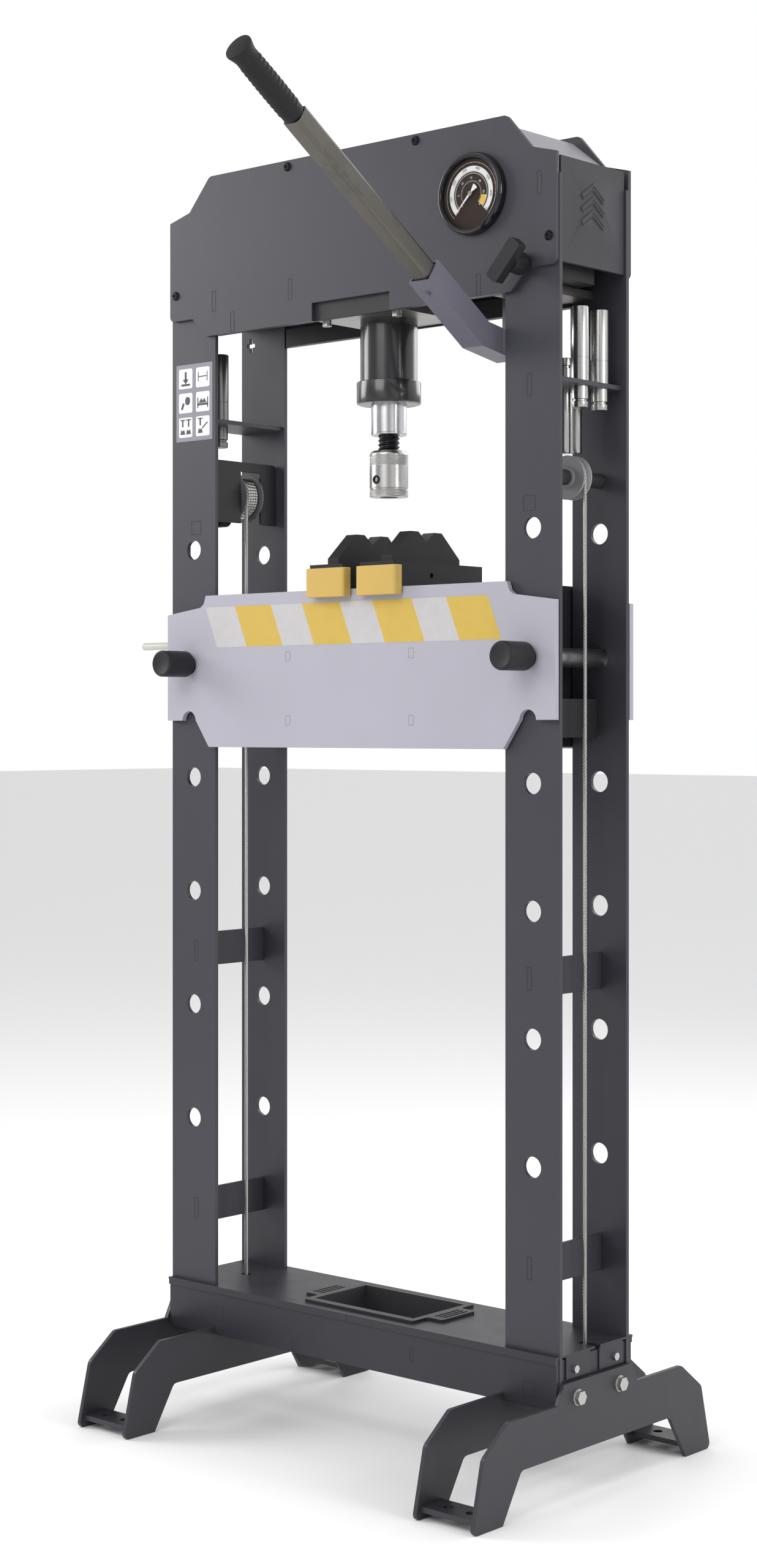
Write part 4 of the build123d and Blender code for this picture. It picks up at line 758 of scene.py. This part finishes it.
print_cloud = at.noise(60.0, 4.0, 0.6)
pale = print_cloud.mix(rgb(178, 175, 177), rgb(190, 187, 189))
golden = print_cloud.mix(rgb(190, 160, 66), rgb(200, 170, 76))
vinyl = yellow.mix(pale, golden)
end_finish(stripe_shader, vinyl, print_cloud * 0.1 + 0.38, at.noise(500.0), 0.00003)
flat_shapes("table_stripe_band", "table", stripe_vinyl,
            [[(-0.275, band_top), (-0.275 + band_lean, band_low), (0.267, band_low),
              (0.267 - band_lean, band_top)]], -table_face - 0.00015)

# Locking pins: ground steel bars through the columns and the table, with turned plastic grips.
# The table hangs on them.
pin_steel = metal("ground_pin_steel", rgb(172, 172, 174), 0.3, (1, 12, 1), 0.00002, 0.2, 0.08)
pin_height = 1.0818
for side, at_x in (("left", -0.309), ("right", 0.309)):
    pin_line = (at_x, 0, pin_height)
    lathed(f"table_pin_{side}", [f"locking_pin_{side}"], f"locking_pin_{side}", pin_steel, pin_line, (0, -1, 0), [
        (0, -0.096), (0.0105, -0.096), (0.0118, -0.0952), (0.0125, -0.094), (0.0125, 0.092), (0.009, 0.092),
        (0.009, 0.137), (0, 0.137)], 72)
    lathed(f"table_pin_grip_{side}", [], f"locking_pin_{side}", knob_black, pin_line, (0, -1, 0), [
        (0.009, 0.092), (0.0165, 0.092), (0.0178, 0.0925), (0.0186, 0.0938), (0.0188, 0.096), (0.019, 0.138),
        (0.0188, 0.1405), (0.0181, 0.142), (0.0168, 0.1429), (0.015, 0.143), (0.0142, 0.1426), (0, 0.1424),
        (0, 0.1371), (0.009, 0.1371)], 96)

# Press bars: black-oiled square bars with a vee plate each, standing across the table.
# Yellow plastic caps cover their front ends.
bar_black = coating("black_bar_finish", rgb(28, 28, 31), 0.5, 0.00008, 0.02, 0.0, 0.3)
cap_yellow = coating("yellow_cap_plastic", rgb(196, 164, 86), 0.42, 0.00004, 0.02)
for side in ("left", "right"):
    eased(f"press_bar_and_vee_{side}", [f"press_bar_{side}"], f"press_bar_{side}", bar_black, 0.001)
    eased(f"press_bar_cap_{side}", [f"press_cap_{side}"], f"press_bar_{side}", cap_yellow, 0.0012, 3)

# Winch: a drum on an axle behind a bracket plate, wound by a crank through a worm and wheel.
# The bracket and drum are painted black, the crank's handle is a plain pale tube.
eased("winch_bracket_plate", ["winch_bracket"], "frame", rail_coat)
drum_grey = coating("winch_drum_paint", rgb(92, 92, 98), 0.42)
eased("winch_drum_wheel", ["winch_drum"], "winch_drum", drum_grey, 0.0003)
eased("crank_arm_and_worm", ["worm_crank"], "worm_crank", screw_black, 0.0004)
handle_pale = coating("pale_handle_tube", rgb(188, 188, 176), 0.4)
eased("crank_handle_tube", ["crank_handle"], "crank_handle", handle_pale, 0.0004)

# Hoist cable: 5 mm stranded steel rope, taut over the pulleys from the winch to the table.
# Its strands show as a slanting twist of bright wires, with painted shade darkening the grooves between strands.
rope, rope_shader, at = start_finish("stranded_steel_rope", Metallic=1.0)
rope_y = 0.006
left_run, inner_run, outer_run, cross_run = -0.282, 0.2855, 0.3325, 0.1195
strand_pitch = 0.0042
x, y, z = at.axis(0), at.axis(1), at.axis(2)
off_y = y - rope_y
to_left = (x < -0.2) * left_run
to_inner = (x > -0.2) * (x < 0.31) * inner_run
to_outer = (x > 0.31) * outer_run
off_x = x - (to_left + to_inner + to_outer)
lying = (z < 0.126) * (x > -0.25) * (x < 0.3)
around_run = at.math("ARCTAN2", off_x, off_y)
around_cross = at.math("ARCTAN2", z - cross_run, off_y)
twist = around_run * (1 - lying) + around_cross * lying
along = z * (1 - lying) + x * lying
strand = at.math("FRACT", twist * (6 / (2 * pi)) + along / strand_pitch)
ridge = at.math("SINE", strand * pi)
wires = at.noise(2200.0, 2.0)
# Painted shade: the colour darkens in the grooves between strands and stays bright on the crests; the fine wire
# noise is the steel's own tone.
rope_colour_with_groove_shade = (ridge * 0.8 + wires * 0.2).mix(rgb(96, 94, 92), rgb(214, 213, 210))
end_finish(rope_shader, rope_colour_with_groove_shade, wires * 0.1 + 0.28, ridge, 0.0006)
eased("hoist_rope", ["hoist_cable"], "frame", rope, 0)
eased("hoist_rope_turns", ["drum_winding"], "winch_drum", rope, 0)

# Pulleys: moulded grey sheaves on steel axles, one high on the right and two in the base.
sheave = coating("moulded_grey_sheave", rgb(138, 138, 140), 0.45)
eased("top_sheave", ["top_wheel"], "top_wheel", sheave, 0.0005)
eased("base_sheave_left", ["base_pulley_left"], "base_pulley_left", sheave, 0.0005)
eased("base_sheave_right", ["base_pulley_right"], "base_pulley_right", sheave, 0.0005)
axle_black = coating("black_axle_paint", rgb(48, 48, 52), 0.45)
eased("sheave_axles", ["pulley_axles"], "frame", axle_black, 0.0006)

# Tool racks and arbors: shelves across the columns hold the pressing arbors.
# Each arbor is bright turned bar, with a grooved neck for the adaptor's set screw.
eased("rack_shelves", ["tool_racks"], "frame", frame_coat)
right_shelf, left_shelf = 1.442, 1.437
darker = metal("darker_arbor_steel", rgb(150, 148, 148), 0.3, (1, 1, 14), 0.00001, 0.15, 0.1)
for node, place, low, high, finish in (
    ("arbor_big_1", (0.33, -0.002, right_shelf), -0.035, 0.098, bright),
    ("arbor_big_2", (0.33, 0.042, right_shelf), -0.035, 0.098, bright),
    ("arbor_left", (-0.31, -0.02, left_shelf), -0.036, 0.101, darker),
):
    lathed(node + "_bar", [node], node, finish, place, (0, 0, 1), [
        (0, low), (0.0095, low), (0.0108, low + 0.0008), (0.011, low + 0.0015), (0.011, low + 0.008),
        (0.009, low + 0.009), (0.009, low + 0.011), (0.011, low + 0.012), (0.011, 0), (0.012, 0), (0.012, 0.030),
        (0.0117, 0.0303), (0.0117, 0.0312), (0.012, 0.0315), (0.012, high - 0.0015), (0.0116, high - 0.0006),
        (0.0105, high), (0, high)], 72)
for node, at_y, hang in (("arbor_thin_1", 0.0185, 0.09), ("arbor_thin_2", 0.044, 0.088)):
    lathed(node + "_bar", [node], node, bright, (0.29, at_y, right_shelf), (0, 0, 1), [
        (0, -hang), (0.007, -hang), (0.0078, -hang + 0.0006), (0.008, -hang + 0.001), (0.008, 0), (0.011, 0),
        (0.011, 0.022), (0.009, 0.023), (0.009, 0.025), (0.011, 0.026), (0.011, 0.0345), (0.0105, 0.0356),
        (0.0095, 0.036), (0, 0.036)], 72)

# Drip tray: a loose moulded tray with tapered sides and slotted handles, dropped into the base.
tray_black = coating("moulded_tray_plastic", rgb(38, 38, 41), 0.42, 0.00006, 0.02)
eased("oil_drip_tray", ["drip_tray"], "drip_tray", tray_black, 0.0008, 3)
